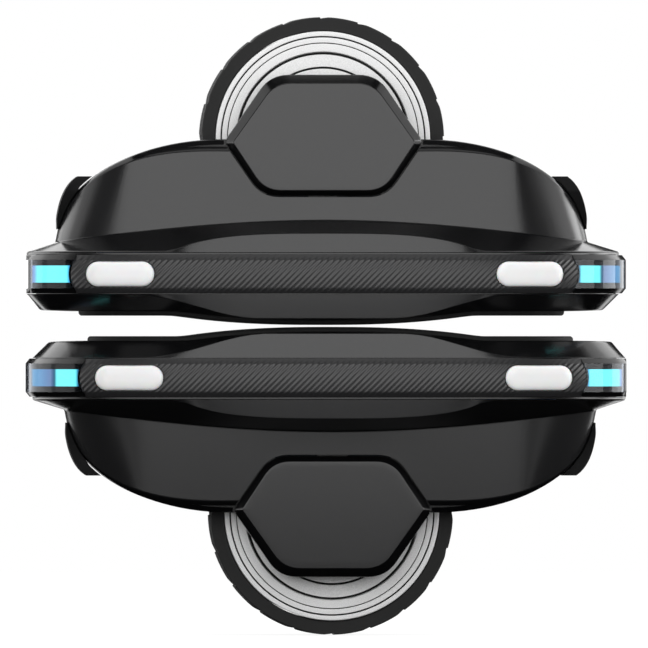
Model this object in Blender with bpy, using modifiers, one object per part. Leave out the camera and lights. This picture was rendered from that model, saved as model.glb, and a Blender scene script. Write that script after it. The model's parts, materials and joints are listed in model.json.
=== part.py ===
"""A pair of one-wheel hover shoes, one standing on its wheel and one upside down over it, deck to deck.

Each shoe is modelled once in its own frame: the wheel's axle runs along Y through the origin, X runs
along the foot and +Z points to the deck. The finished pieces are then placed twice.
"""
import math

import bmesh
import bpy
from mathutils import Matrix, Vector

# How the pair stands
DECK_GAP = 0.0009            # between the crowns of the two foot mats
SHOE_OFFSET = 0.0022         # each shoe's axle stands this far from the middle, along X

# Clearances
SEAT = 0.0003                # between pieces that touch
RUNNING = 0.0020             # between the wheel and what stands still
JOIN = 0.0010                # what shapes that are joined share, and how far a cut runs past a face
FAR = 0.4000                 # past the whole shoe
FLAT_ANGLE = math.radians(0.02)

# Wheel
WHEEL_RADIUS = 0.0600
TYRE_WIDTH = 0.0620
TYRE_THICKNESS = 0.0070      # rubber that shows from the side
TYRE_SHOULDER = 0.0044
TREAD_BLOCKS = 20
TREAD_DEPTH = 0.0008
TREAD_GROOVE = 0.0030
HUB_COVER_PROUD = 0.0015     # hub covers stand this far outside the tyre's side
HUB_COVER_THICKNESS = 0.0030
HUB_STEP_RADIUS = 0.0423
HUB_STEP = 0.0008
RIM_WALL = 0.0085
BEARING_OUTER = 0.0105
BEARING_WIDTH = 0.0070
BEARING_HOLDER = 0.0030      # wall of the cover round its bearing
AIR_GAP = 0.0012             # between stator and magnets
STATOR_WIDTH = 0.0340
STATOR_TEETH = 12
TOOTH_LENGTH = 0.0160
TOOTH_ROOT = 0.26            # where a tooth's shank starts and where its tip starts, as shares
TOOTH_TIP = 0.08             # of the pitch

# Axle and what carries it
AXLE_RADIUS = 0.0060
AXLE_FLAT = 0.0045           # half the width across the flats
AXLE_SHOULDER = 0.0022       # the thicker middle that the stator is pressed on
ARM_THICKNESS = 0.0055
ARM_TOP_WIDTH = 0.0880
ARM_TOP_EDGE = 0.0080
ARM_EYE = 0.0130             # radius of the eye round the axle
WINDOW_DROP = 0.0120         # material left between an arm's window and the plate
WINDOW_WIDTH = 0.0280
WINDOW_FOOT_WIDTH = 0.0140
WINDOW_LOW = 0.0260
PLATE_WINDOW = 0.0260
PLATE_WINDOW_PLACE = 0.0780
CHASSIS_FULLNESS = 6.0
CHASSIS_PLATE = 0.0040
CHASSIS_LENGTH = 0.2040

# Lower housing
HOUSING_LENGTH = 0.2620
HOUSING_WIDTH = 0.1000
HOUSING_FULLNESS = 3.5
HOUSING_WALL = 0.0026
HOUSING_FLOOR = 0.0004       # the flat underside, above the axle's centre line
FLAT_UNDERSIDE = 0.1000      # length of the flat underside
NOSE_DROP = 0.0052           # from the parting line down to the side wall's edge at the nose
WAIST_DROP = 0.0158          # the same at mid-length
WAIST_CURVE = 0.35
RIM_BEVEL = 0.0042
WELL_GAP = 0.0040            # round the tyre
WELL_WALL = 0.0024

# Wrap-around band and deck cover
BAND_LENGTH = 0.3000
NOSE_CUT = 0.0052            # the front end is cut flat this far behind the outline's tip
BAND_WIDTH = 0.1700
BAND_FULLNESS = 2.6
BAND_PROUD = 0.0034          # the band stands this far outside the shells
BAND_HEIGHT = 0.0188
BAND_LET_IN = 0.0015         # depth of the seat that the band is let into
BAND_BEVEL = 0.0024
BAND_DROP = 0.0041           # the band's centre line lies this far under the chassis's upper face
SIDE_PANEL_LENGTH = 0.1480   # length of the facet under the band
SIDE_PANEL_SQUARE = 3.2
SIDE_PANEL_SOFT = 0.75
SIDE_PANEL_DROP = 0.0087
SIDE_PANEL_LEAN = 0.0030
UPPER_PANEL_RISE = 0.0115
UPPER_PANEL_LEAN = 0.0012
UPPER_PANEL_FULL = 0.0330
UPPER_PANEL_END = 0.0920
LIP = 0.0006
DECK_DROOP = 0.0007
DECK_THICKNESS = 0.0064
DECK_CROWN = 0.0046
CROWN_LENGTH = 0.1440
CROWN_POWER = 2.4
DECK_INSET = 0.0115          # the deck's edge lies this far inside the band
COVER_WALL = 0.0024
SENSOR_ROOM = 0.0077         # between the chassis's upper face and the cover's ceiling

# Foot mat
MAT_LENGTH = 0.2390
MAT_WIDTH = 0.1400
MAT_FULLNESS = 3.0
MAT_PROUD = 0.0022
MAT_SUNK = 0.0014
MAT_RIM = 0.0010
MAT_TRAVEL = 0.0015
MAT_GROOVES = 4              # at each end
MAT_GROOVE_PITCH = 0.0070
MAT_GROOVE_DEPTH = 0.0008
MAT_GROOVE_WIDTH = 0.0030
MAT_GROOVE_LENGTH = 0.0770

# Side pads and lights
PAD_LENGTH = 0.0335
PAD_HEIGHT = 0.0123
PAD_FROM_TIP = 0.0496        # middle of a pad, behind the band's tip
PAD_PROUD = 0.0006
LENS_LENGTH = 0.0253          # at mid-height, behind the band's tip
LENS_BOW = 0.0035            # how much further in the lens reaches at its upper and lower edges
LENS_THICKNESS = 0.0030
LIGHT_HEIGHT = 0.0084
LIGHT_START = 0.0011         # the light board begins this far past the lens's edge

# Hexagonal axle covers
COVER_LENGTH = 0.0980
COVER_CORNER_HEIGHT = 0.0020
COVER_TOP_LENGTH = 0.0612
COVER_TOP = 0.0286
COVER_FOOT_LENGTH = 0.0524
COVER_FOOT = 0.0312
COVER_PROUD = 0.0020         # the outer face stands this far outside the housing
COVER_SLOPE = 0.0042         # how far the face lies inside the rim
COVER_RIM_DEPTH = 0.0050
COVER_SHELL = 0.0022
COVER_CORNER = 0.0060
COVER_SPREAD = 0.6           # how much of an inset its sloping sides take at the corners

# Nose bumpers
BUMPER_LENGTH = 0.2622       # over both bumpers
BUMPER_START = 0.1130
BUMPER_BACK = 0.1070         # inside the nose, where its outline is closed before the seat is cut
BUMPER_FOOT = 0.0181         # over the flat underside
BUMPER_TOP = 0.0096          # under the nose's upper edge
BUMPER_FULLNESS = 2.3
BUMPER_SQUARE = 0.0020       # drops the bulge's end below the foot, which leaves the foot flat
BUMPER_WIDTH = 0.0500
BUMPER_SIDE = 0.0040         # its plan outline is this much wider on each side than the housing's
BUMPER_GAP = 0.0005          # how far its seat is set off from the nose, along X and down
BUMPER_STEPS = 5

# Inside
INSIDE_GAP = 0.0040          # between the wheel arch and what lies before and behind it
BATTERY_LENGTH = 0.0400
BATTERY_HEIGHT = 0.0360
BATTERY_EDGE = 0.0030
BATTERY_SIDE_GAP = 0.0017
BOARD_LENGTH = 0.0440
BOARD_THICKNESS = 0.0016
BOARD_DROP = 0.0050          # the height of its spacer
SPACER_LENGTH = 0.0240
SPACER_WIDTH = 0.0320
HEAT_SINK_LENGTH = 0.0360
HEAT_SINK_WIDTH = 0.0120
HEAT_SINK_HEIGHT = 0.0110
CAPACITOR_RADIUS = 0.0050
CAPACITOR_LENGTH = 0.0150
CAPACITOR_PLACE = 0.0200
SENSOR_PLACE = 0.0560
SENSOR_LENGTH = 0.0240
SENSOR_WIDTH = 0.0160
SENSOR_EYE = 0.0090
SENSOR_RISE = 0.0060

# Fastening
SCREW_PLACE = 0.0840
SCREW_INSET = 0.0125         # from the housing's side
SCREW_RADIUS = 0.0020
SCREW_LENGTH = 0.0130
BOSS_RADIUS = 0.0058
WELL_RADIUS = 0.0040
LEDGE = 0.0030

# Button and charging socket
CONTROL_HEIGHT = 0.0236      # over the flat underside
CONTROL_PLACE = 0.0640
CONTROL_SLEEVE = 0.0070      # how deep the sleeves round the button and the socket are
BUTTON_RADIUS = 0.0055
BUTTON_PROUD = 0.0012
BUTTON_EDGE = 0.0006
SLEEVE_WALL = 0.0016
PORT_RADIUS = 0.0070
PORT_BORE = 0.0048
PORT_DEPTH = 0.0090
PORT_FLOOR = 0.0030
PORT_PIN = 0.0010
PORT_PIN_LENGTH = 0.0024
CAP_RADIUS = 0.0080
CAP_THICKNESS = 0.0020
CAP_PLUG = 0.0014
CAP_STRAP = 0.0080
CAP_HINGE_DROP = 0.0015      # the hinge lies this far below the cap's edge

# Steps round the outlines
OUTLINE_STEPS = 28
OUTLINE_SPREAD = 1.25        # evens out the outline's points towards mid-length
WHEEL_STEPS = 24
ARCH_STEPS = 12
ROUND_STEPS = 12
BOSS_STEPS = 8
SCREW_STEPS = 6

RUBBER = ("black rubber", (0.030, 0.030, 0.031), 0.75, 0.0)
TYRE_RUBBER = ("tyre rubber", (0.032, 0.032, 0.033), 0.85, 0.0)
HOUSING_PLASTIC = ("satin black abs", (0.020, 0.020, 0.021), 0.34, 0.0)
TRIM_PLASTIC = ("ribbed grey abs", (0.090, 0.090, 0.092), 0.45, 0.0)
PAD_PLASTIC = ("white polycarbonate", (0.860, 0.860, 0.860), 0.30, 0.0)
LENS_PLASTIC = ("smoked polycarbonate", (0.035, 0.040, 0.055), 0.08, 0.0)
LIGHT_BOARD = ("cyan light strip", (0.080, 0.720, 0.900), 0.40, 0.0)
HUB_ALLOY = ("painted cast aluminium", (0.600, 0.600, 0.600), 0.50, 0.4)
FRAME_ALLOY = ("anodised aluminium", (0.320, 0.320, 0.330), 0.40, 1.0)
STEEL = ("zinc plated steel", (0.520, 0.520, 0.530), 0.30, 1.0)
COPPER = ("copper windings", (0.550, 0.230, 0.100), 0.40, 1.0)
BATTERY_SLEEVE = ("blue shrink sleeve", (0.030, 0.110, 0.350), 0.40, 0.0)
CIRCUIT_BOARD = ("green circuit board", (0.020, 0.180, 0.070), 0.45, 0.0)

TYRE_SIDE = TYRE_WIDTH / 2
TYRE_INNER = WHEEL_RADIUS - TYRE_THICKNESS
HUB_FACE = TYRE_SIDE + HUB_COVER_PROUD
HUB_BACK = HUB_FACE - HUB_COVER_THICKNESS
RIM_RADIUS = TYRE_INNER - SEAT
MAGNET_RADIUS = RIM_RADIUS - RIM_WALL
WELL_HALF = HUB_FACE + RUNNING
WELL_INNER = WHEEL_RADIUS + WELL_GAP
ARCH_HALF = WELL_HALF + WELL_WALL
ARCH_RADIUS = WELL_INNER + WELL_WALL
ARM_INNER = ARCH_HALF + SEAT
ARM_OUTER = ARM_INNER + ARM_THICKNESS
PLATE_BOTTOM = ARCH_RADIUS + SEAT
PLATE_TOP = PLATE_BOTTOM + CHASSIS_PLATE
CEILING = PLATE_TOP + SENSOR_ROOM
DECK_FLAT = CEILING + DECK_THICKNESS
HOUSING_HALF = HOUSING_LENGTH / 2
SIDE_HALF = HOUSING_WIDTH / 2
WALL_INNER = SIDE_HALF - HOUSING_WALL
BAND_CENTRE = PLATE_TOP - BAND_DROP
BAND_BOTTOM = BAND_CENTRE - BAND_HEIGHT / 2
BAND_TOP = BAND_CENTRE + BAND_HEIGHT / 2
BAND_SIDE = BAND_WIDTH / 2
BAND_SEAT = BAND_PROUD + BAND_LET_IN
BAND_BACK = BAND_SEAT - SEAT
BAND_TIP = BAND_LENGTH / 2
NOSE_FLAT = BAND_TIP - NOSE_CUT
LENS_START = BAND_TIP - LENS_LENGTH
PAD_PLACE = BAND_TIP - PAD_FROM_TIP
PARTING = BAND_BOTTOM - LIP - 2 * SEAT
NOSE_TOP = PARTING - NOSE_DROP
WAIST_TOP = PARTING - WAIST_DROP
MAT_TOP = DECK_FLAT + DECK_CROWN + MAT_PROUD
MAT_POCKET = MAT_SUNK + MAT_TRAVEL + SEAT
SHOE_HEIGHT = WHEEL_RADIUS + MAT_TOP
SCREW_SIDE = SIDE_HALF - SCREW_INSET
SCREW_SEAT = PLATE_BOTTOM - SEAT - LEDGE
INSIDE_WIDTH = 2 * (SCREW_SIDE - BOSS_RADIUS - BATTERY_SIDE_GAP)
CONTROL_Z = HOUSING_FLOOR + CONTROL_HEIGHT

parts = bpy.data.collections.new("hover_shoes")
cutters = bpy.data.collections.new("hover_shoes_cutters")


def smooth(start, end, value):
    """Rises smoothly from 0 at start to 1 at end."""
    share = min(max((value - start) / (end - start), 0.0), 1.0)
    return share * share * (3.0 - 2.0 * share)


def oval(half_length, half_width, fullness, steps=OUTLINE_STEPS):
    """A plan outline, counterclockwise from the nose, fuller than an ellipse where fullness is over 2."""
    quarter = []
    for step in range(steps // 4 + 1):
        turn = math.pi / 2 * (1.0 - (1.0 - 4 * step / steps) ** OUTLINE_SPREAD)
        along_x, along_y = round(math.cos(turn), 9), round(math.sin(turn), 9)
        quarter.append((along_x ** (2.0 / fullness) * half_length, along_y ** (2.0 / fullness) * half_width))
    half = quarter + [(-x, y) for x, y in reversed(quarter[:-1])]
    return half + [(x, -y) for x, y in reversed(half[1:-1])]


def band_outline(inset=0.0, behind=0.0):
    """The band's plan outline, drawn in by inset, with its flat front this far behind the band's."""
    plan = oval(BAND_TIP - inset, BAND_SIDE - inset, BAND_FULLNESS)
    return [(min(x, NOSE_FLAT - behind), y) for x, y in plan]


def shell_outline(inset=0.0):
    """Plan outline of the shells above and below the band, whose flat front is flush with the band's."""
    return band_outline(BAND_PROUD + inset, inset)


def housing_outline(inset=0.0):
    return oval(HOUSING_HALF - inset, SIDE_HALF - inset, HOUSING_FULLNESS)


def underside(x, inset=0.0):
    """Height of the housing's underside: flat in the middle, then a quarter of an ellipse to the nose."""
    flat = FLAT_UNDERSIDE / 2
    reach = max(abs(x) - flat, 0.0) / (HOUSING_HALF - inset - flat)
    return NOSE_TOP - (NOSE_TOP - HOUSING_FLOOR - inset) * math.sqrt(max(1.0 - reach * reach, 0.0))


def wall_top(x):
    """Height of the upper edge of the housing's side wall, which dips at mid-length."""
    share = min(abs(x) / HOUSING_HALF, 1.0)
    return WAIST_TOP + (NOSE_TOP - WAIST_TOP) * share * share * (1.0 + WAIST_CURVE * (1.0 - share))


def side_panel(x):
    """How much of its full height the facet under the band has at x."""
    share = min(abs(x) / (SIDE_PANEL_LENGTH / 2), 1.0)
    return (1.0 - share ** SIDE_PANEL_SQUARE) ** SIDE_PANEL_SOFT


def upper_panel(x):
    """How much of its full height the facet over the band has at x."""
    return 1.0 - smooth(UPPER_PANEL_FULL, UPPER_PANEL_END, abs(x))


def deck_height(x):
    """Height of the deck round the foot mat, with its crown at mid-length."""
    share = min(abs(x) / (CROWN_LENGTH / 2), 1.0)
    drop = DECK_DROOP * smooth(MAT_LENGTH / 2, BAND_TIP, abs(x))
    return DECK_FLAT - drop + DECK_CROWN * (1.0 - share ** CROWN_POWER)


def level(outline, height):
    """Lifts a plan outline to a height, which may depend on x."""
    return [(x, y, height(x) if callable(height) else height) for x, y in outline]


def new_object(name, bm, collection=parts):
    bmesh.ops.recalc_face_normals(bm, faces=bm.faces[:])
    mesh = bpy.data.meshes.new(name)
    bm.to_mesh(mesh)
    bm.free()
    obj = bpy.data.objects.new(name, mesh)
    collection.objects.link(obj)
    if collection is cutters:
        obj.hide_render = True
        obj.display_type = "WIRE"
    return obj


def loft(name, rings, collection=parts):
    """A closed solid through rings of equally many points, closed at both ends by strips across."""
    bm = bmesh.new()
    rows = [[bm.verts.new(point) for point in ring] for ring in rings]
    count = len(rings[0])
    for low, high in zip(rows, rows[1:]):
        for here in range(count):
            after = (here + 1) % count
            bm.faces.new((low[here], low[after], high[after], high[here]))
    for row in (rows[0], rows[-1]):
        for here in range(count // 2):
            strip = []
            for index in (here, here + 1, count - here - 1, (count - here) % count):
                if row[index % count] not in strip:
                    strip.append(row[index % count])
            bm.faces.new(strip)
    return new_object(name, bm, collection)


def box(name, low, high, collection=cutters):
    bm = bmesh.new()
    size = Vector(high) - Vector(low)
    middle = (Vector(high) + Vector(low)) / 2
    bmesh.ops.create_cube(bm, size=1.0, matrix=Matrix.Translation(middle) @ Matrix.Diagonal(size).to_4x4())
    return new_object(name, bm, collection)


def along(axis, centre):
    """Places something modelled along Z so that it runs along the named axis."""
    turn = {"Z": Matrix.Identity(4), "Y": Matrix.Rotation(-math.pi / 2, 4, "X")}[axis]
    return Matrix.Translation(centre) @ turn


def add_cylinder(bm, radius, start, end, centre=(0.0, 0.0), axis="Z", steps=ROUND_STEPS, top=None):
    """Adds a cylinder, or a cone where top differs, from start to end along an axis."""
    middle = (start + end) / 2
    place = (centre[0], middle, centre[1]) if axis == "Y" else (centre[0], centre[1], middle)
    turn = Matrix.Rotation(math.pi / steps, 4, "Z")
    bmesh.ops.create_cone(bm, cap_ends=True, segments=steps, radius1=radius,
                          radius2=radius if top is None else top, depth=end - start,
                          matrix=along(axis, place) @ turn)


def cylinder(name, radius, start, end, centre=(0.0, 0.0), axis="Z", steps=ROUND_STEPS,
             collection=cutters):
    bm = bmesh.new()
    add_cylinder(bm, radius, start, end, centre, axis, steps)
    return new_object(name, bm, collection)


def turned(name, profile, steps=WHEEL_STEPS, collection=parts):
    """A solid turned about Y from a closed profile of (radius, y) corners."""
    bm = bmesh.new()
    verts = [bm.verts.new((radius, y, 0.0)) for radius, y in profile]
    for here, after in zip(verts, verts[1:] + verts[:1]):
        bm.edges.new((here, after))
    bmesh.ops.rotate(bm, verts=verts, matrix=Matrix.Rotation(math.pi / steps, 3, "Y"))
    obj = new_object(name, bm, collection)
    screw = obj.modifiers.new("turn", "SCREW")
    screw.axis = "Y"
    screw.steps = screw.render_steps = steps
    screw.use_merge_vertices = True
    screw.merge_threshold = 0.00001
    return settle(obj)


def mirrored(profile):
    """Completes the +Y half of a turned profile with its mirror image."""
    return profile + [(radius, -y) for radius, y in reversed(profile)]


def plate(name, outline, start, end, collection=cutters):
    """A flat outline of (x, z) corners with a thickness along Y."""
    curve = bpy.data.curves.new(name, "CURVE")
    curve.dimensions = "2D"
    curve.fill_mode = "BOTH"
    curve.extrude = (end - start) / 2
    spline = curve.splines.new("POLY")
    spline.points.add(len(outline) - 1)
    for point, (x, z) in zip(spline.points, outline):
        point.co = (x, z, 0.0, 1.0)
    spline.use_cyclic_u = True
    drawn = bpy.data.objects.new(name, curve)
    collection.objects.link(drawn)
    bpy.context.view_layer.update()
    mesh = bpy.data.meshes.new_from_object(drawn.evaluated_get(bpy.context.evaluated_depsgraph_get()))
    bpy.data.objects.remove(drawn)
    bm = bmesh.new()
    bm.from_mesh(mesh)
    bpy.data.meshes.remove(mesh)
    bmesh.ops.remove_doubles(bm, verts=bm.verts[:], dist=0.000001)
    bmesh.ops.dissolve_limit(bm, angle_limit=FLAT_ANGLE, verts=bm.verts[:], edges=bm.edges[:])
    stand = Matrix.Translation((0.0, (start + end) / 2, 0.0)) @ Matrix.Rotation(math.pi / 2, 4, "X")
    bmesh.ops.transform(bm, matrix=stand, verts=bm.verts[:])
    return new_object(name, bm, collection)


def arc(centre, radius, first, last, steps):
    """Points of an arc in a plane, angles in degrees."""
    angles = [math.radians(first + (last - first) * step / steps) for step in range(steps + 1)]
    return [(centre[0] + radius * math.cos(angle), centre[1] + radius * math.sin(angle))
            for angle in angles]


def boolean(obj, other, operation="DIFFERENCE"):
    modifier = obj.modifiers.new(other.name, "BOOLEAN")
    modifier.operation = operation
    modifier.solver = "EXACT"
    modifier.object = other
    return obj


def settle(obj):
    """Fixes an object's modifiers in its mesh, with all faces pointing out."""
    bpy.context.view_layer.update()
    mesh = bpy.data.meshes.new_from_object(obj.evaluated_get(bpy.context.evaluated_depsgraph_get()))
    mesh.name = obj.name
    bm = bmesh.new()
    bm.from_mesh(mesh)
    bmesh.ops.remove_doubles(bm, verts=bm.verts[:], dist=0.00001)
    bmesh.ops.dissolve_degenerate(bm, edges=bm.edges[:], dist=0.00001)
    bmesh.ops.recalc_face_normals(bm, faces=bm.faces[:])
    bm.to_mesh(mesh)
    bm.free()
    obj.modifiers.clear()
    obj.data = mesh
    return obj


def finish(obj, look, pivot=(0.0, 0.0, 0.0)):
    """Fixes a piece's shape, puts its origin at the pivot and gives it its material."""
    mesh = settle(obj).data
    mesh.transform(Matrix.Translation(-Vector(pivot)))
    obj.location = pivot
    mesh.materials.clear()
    mesh.materials.append(material(*look))
    mesh.shade_smooth()
    mesh.set_sharp_from_angle(angle=math.radians(30))
    return obj


def material(name, colour, roughness, metallic):
    found = bpy.data.materials.get(name)
    if found:
        return found
    made = bpy.data.materials.new(name)
    made.use_nodes = True
    shader = made.node_tree.nodes["Principled BSDF"]
    shader.inputs["Base Color"].default_value = (*colour, 1.0)
    shader.inputs["Roughness"].default_value = roughness
    shader.inputs["Metallic"].default_value = metallic
    return made


def make_tyre():
    """Solid rubber tyre with a crowned tread cut by cross grooves."""
    steps = 2 * TREAD_BLOCKS
    half = [(TYRE_INNER, TYRE_SIDE), (WHEEL_RADIUS - TYRE_SHOULDER / 2, TYRE_SIDE),
            (WHEEL_RADIUS, TYRE_SIDE - TYRE_SHOULDER)]
    across_flats = [(radius / math.cos(math.pi / steps), y) for radius, y in half]
    tyre = turned("tyre", mirrored(across_flats), steps)
    bm = bmesh.new()
    size = (TREAD_GROOVE, TYRE_WIDTH + 2 * SEAT, 4 * TREAD_DEPTH)
    for block in range(TREAD_BLOCKS):
        turn = Matrix.Rotation(2 * math.pi * (block + 0.5) / TREAD_BLOCKS, 4, "Y")
        out = Matrix.Translation((0.0, 0.0, WHEEL_RADIUS + TREAD_DEPTH))
        bmesh.ops.create_cube(bm, size=1.0, matrix=turn @ out @ Matrix.Diagonal(size).to_4x4())
    return finish(boolean(tyre, new_object("tread_grooves", bm, cutters)), TYRE_RUBBER)


def make_hub():
    """The motor's shell with one closed side, its cover on the other side, and a bearing in each."""
    seat = BEARING_OUTER + SEAT
    boss = HUB_FACE - HUB_STEP - SEAT - BEARING_WIDTH
    outside = [(RIM_RADIUS, HUB_FACE), (HUB_STEP_RADIUS, HUB_FACE),
               (HUB_STEP_RADIUS - HUB_STEP, HUB_FACE - HUB_STEP), (seat, HUB_FACE - HUB_STEP),
               (seat, boss), (seat + BEARING_HOLDER, boss)]
    shell = [(radius, -y) for radius, y in outside]
    shell += [(MAGNET_RADIUS, -HUB_BACK), (MAGNET_RADIUS, HUB_BACK - SEAT), (RIM_RADIUS, HUB_BACK - SEAT)]
    finish(turned("hub_shell", shell), HUB_ALLOY)
    cover = outside + [(MAGNET_RADIUS - SEAT, HUB_BACK), (RIM_RADIUS, HUB_BACK)]
    finish(turned("hub_side_cover", cover), HUB_ALLOY)
    outer = HUB_FACE - HUB_STEP - SEAT
    for side, name in ((-1, "wheel_bearing_left"), (1, "wheel_bearing_right")):
        near, far = side * (outer - BEARING_WIDTH), side * outer
        ring = [(AXLE_RADIUS + SEAT, far), (BEARING_OUTER, far), (BEARING_OUTER, near),
                (AXLE_RADIUS + SEAT, near)]
        finish(turned(name, ring, ROUND_STEPS), STEEL)


def make_motor():
    """The toothed stator, pressed on the thick middle of an axle with flats at its ends."""
    end = ARM_OUTER - 2 * SEAT
    shoulder = STATOR_WIDTH / 2 + JOIN
    thick = AXLE_RADIUS + AXLE_SHOULDER
    half = [(0.0, end), (AXLE_RADIUS, end), (AXLE_RADIUS, shoulder), (thick, shoulder)]
    axle = turned("motor_axle", mirrored(half), ROUND_STEPS, cutters)
    for side in (-1, 1):
        for face in (-1, 1):
            near, past = sorted((face * AXLE_FLAT, face * 2 * AXLE_RADIUS))
            low, high = sorted((side * ARM_INNER, side * FAR))
            boolean(axle, box("axle_flat", (near, low, -AXLE_RADIUS * 2), (past, high, AXLE_RADIUS * 2)))
    tip = MAGNET_RADIUS - AIR_GAP
    root = tip - TOOTH_LENGTH
    corners = ((TOOTH_ROOT, root), (TOOTH_TIP, tip), (1.0 - TOOTH_TIP, tip), (1.0 - TOOTH_ROOT, root))
    outline = []
    for tooth in range(STATOR_TEETH):
        for share, radius in corners:
            turn = 2 * math.pi * (tooth + share) / STATOR_TEETH
            outline.append((radius * math.cos(turn), radius * math.sin(turn)))
    stator = plate("motor_stator", outline, -STATOR_WIDTH / 2, STATOR_WIDTH / 2, parts)
    finish(boolean(stator, settle(axle), "UNION"), COPPER)


def arm_outline():
    """Side view of a chassis arm: broad under the plate, round at the eye for the axle."""
    top = ARM_TOP_WIDTH / 2
    eye = arc((0.0, 0.0), ARM_EYE, 190, 350, 6)
    return [(-top, PLATE_TOP), (-top, PLATE_BOTTOM - ARM_TOP_EDGE), *eye,
            (top, PLATE_BOTTOM - ARM_TOP_EDGE), (top, PLATE_TOP)]


def make_chassis():
    """Aluminium bridge over the wheel: a plate with two arms that end in eyes for the axle."""
    plan = oval(CHASSIS_LENGTH / 2, SCREW_SIDE + BOSS_RADIUS, CHASSIS_FULLNESS, 16)
    chassis = loft("chassis", [level(plan, PLATE_BOTTOM), level(plan, PLATE_TOP)])
    for side in (-1, 1):
        near, far = sorted((side * ARM_INNER, side * ARM_OUTER))
        boolean(chassis, plate("arm", arm_outline(), near, far), "UNION")
    boolean(chassis, cylinder("axle_eye", AXLE_RADIUS + SEAT, -FAR, FAR, axis="Y"))
    high = PLATE_BOTTOM - WINDOW_DROP
    wide, foot = WINDOW_WIDTH / 2, WINDOW_FOOT_WIDTH / 2
    window = [(-wide, high), (-foot, WINDOW_LOW), (foot, WINDOW_LOW), (wide, high)]
    boolean(chassis, plate("arm_window", window, -FAR, FAR))
    for side in (-1, 1):
        x = side * PLATE_WINDOW_PLACE
        boolean(chassis, box("plate_window", (x - PLATE_WINDOW / 2, -PLATE_WINDOW / 2, 0.0),
                             (x + PLATE_WINDOW / 2, PLATE_WINDOW / 2, FAR)))
    boolean(chassis, posts("chassis_screw_holes", SCREW_RADIUS + SEAT, 0.0, FAR, SCREW_STEPS))
    finish(chassis, FRAME_ALLOY)


def posts(name, radius, start, end, steps=BOSS_STEPS):
    """Upright cylinders at the four screw places."""
    bm = bmesh.new()
    for place in screw_places():
        add_cylinder(bm, radius, start, end, place, steps=steps)
    return new_object(name, bm, cutters)


def screw_places():
    return [(x * SCREW_PLACE, y * SCREW_SIDE) for x in (-1, 1) for y in (-1, 1)]


def cover_corners(inset_low=0.0, inset_high=0.0, grow=0.0):
    """Corners of the hexagonal axle cover in side view, drawn in or grown on its edges."""
    side = COVER_LENGTH / 2 - (inset_low + inset_high) / 2 + grow
    top = COVER_TOP_LENGTH / 2 + (grow - inset_high) * COVER_SPREAD
    foot = COVER_FOOT_LENGTH / 2 + (grow - inset_low) * COVER_SPREAD
    high, low = COVER_TOP - inset_high + grow, -COVER_FOOT + inset_low - grow
    return [(side, COVER_CORNER_HEIGHT), (top, high), (-top, high), (-side, COVER_CORNER_HEIGHT),
            (-foot, low), (foot, low)]


def rounded(corners, radius, steps=2):
    """Rounds every corner of a closed outline with a small curve."""
    points = []
    for before, corner, after in zip(corners[-1:] + corners[:-1], corners, corners[1:] + corners[:1]):
        here = Vector(corner)
        start = here + (Vector(before) - here).normalized() * radius
        end = here + (Vector(after) - here).normalized() * radius
        for step in range(steps + 1):
            share = step / steps
            point = start * (1 - share) ** 2 + here * 2 * share * (1 - share) + end * share ** 2
            points.append(tuple(point))
    return points


def stacked(name, outlines, collection=parts):
    """A solid through equally long (x, z) outlines, each at its own y."""
    bm = bmesh.new()
    rows = [[bm.verts.new((x, y, z)) for x, z in outline] for outline, y in outlines]
    for low, high in zip(rows, rows[1:]):
        for here in range(len(low)):
            after = (here + 1) % len(low)
            bm.faces.new((low[here], low[after], high[after], high[here]))
    bm.faces.new(rows[0])
    bm.faces.new(rows[-1])
    return new_object(name, bm, collection)


def make_axle_covers():
    """Hexagonal caps over the axle's ends: a sloping rim, a flat face and a skirt below the housing."""
    face_y = SIDE_HALF + COVER_PROUD
    rim_y = face_y - COVER_RIM_DEPTH
    skirt_y = ARM_INNER + SEAT
    high_inset = COVER_SLOPE * 0.7
    rim = rounded(cover_corners(), COVER_CORNER)
    face = rounded(cover_corners(COVER_SLOPE, high_inset), COVER_CORNER - JOIN)
    inner = rounded(cover_corners(grow=-COVER_SHELL), COVER_CORNER - JOIN, 1)
    roof = rounded(cover_corners(COVER_SLOPE, high_inset, -COVER_SHELL), COVER_CORNER - 2 * JOIN, 1)
    for side, name in ((-1, "axle_cover_left"), (1, "axle_cover_right")):
        cover = stacked(name, [(rim, side * skirt_y), (rim, side * rim_y), (face, side * face_y)])
        hollow = stacked("cover_hollow", [(inner, side * (skirt_y - JOIN)), (inner, side * rim_y),
                                          (roof, side * (face_y - COVER_SHELL))], cutters)
        boolean(cover, hollow)
        low, high = sorted((0.0, side * (WALL_INNER + SEAT)))
        boolean(cover, box("skirt_cut", (-FAR, low, HOUSING_FLOOR - SEAT), (FAR, high, FAR)))
        finish(cover, HOUSING_PLASTIC)


def housing_rings(inset, top):
    """Rings of the housing from its underside to a level top, all drawn in by inset."""
    bevel = 0.0 if inset else RIM_BEVEL
    plan = housing_outline(inset)
    rings = []
    if bevel:
        rings.append(level(housing_outline(bevel), underside))
    rim = []
    for x, y in plan:
        low = underside(x, inset)
        rim.append((x, y, low + min(bevel, (wall_top(x) - low) / 2)))
    rings.append(rim)
    rings.append([(x, y, wall_top(x) + inset) for x, y in plan])
    panel = []
    for x, y in shell_outline(inset + LIP):
        share = side_panel(x)
        shrink = 1.0 - SIDE_PANEL_LEAN * share / BAND_SIDE
        height = PARTING - LIP - SIDE_PANEL_DROP * share + inset
        panel.append((x, y * shrink, min(height, PARTING - SEAT)))
    rings.append(panel)
    rings.append(level(shell_outline(inset), PARTING))
    if top > PARTING:
        rings.append(level(shell_outline(inset), top))
    return rings


def arch(name, radius, half, foot):
    """The half-round hump over the wheel, as a solid along Y, down to a foot height."""
    outline = [(-radius, foot), *arc((0.0, 0.0), radius, 180, 0, ARCH_STEPS), (radius, foot)]
    return plate(name, outline, -half, half)


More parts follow.
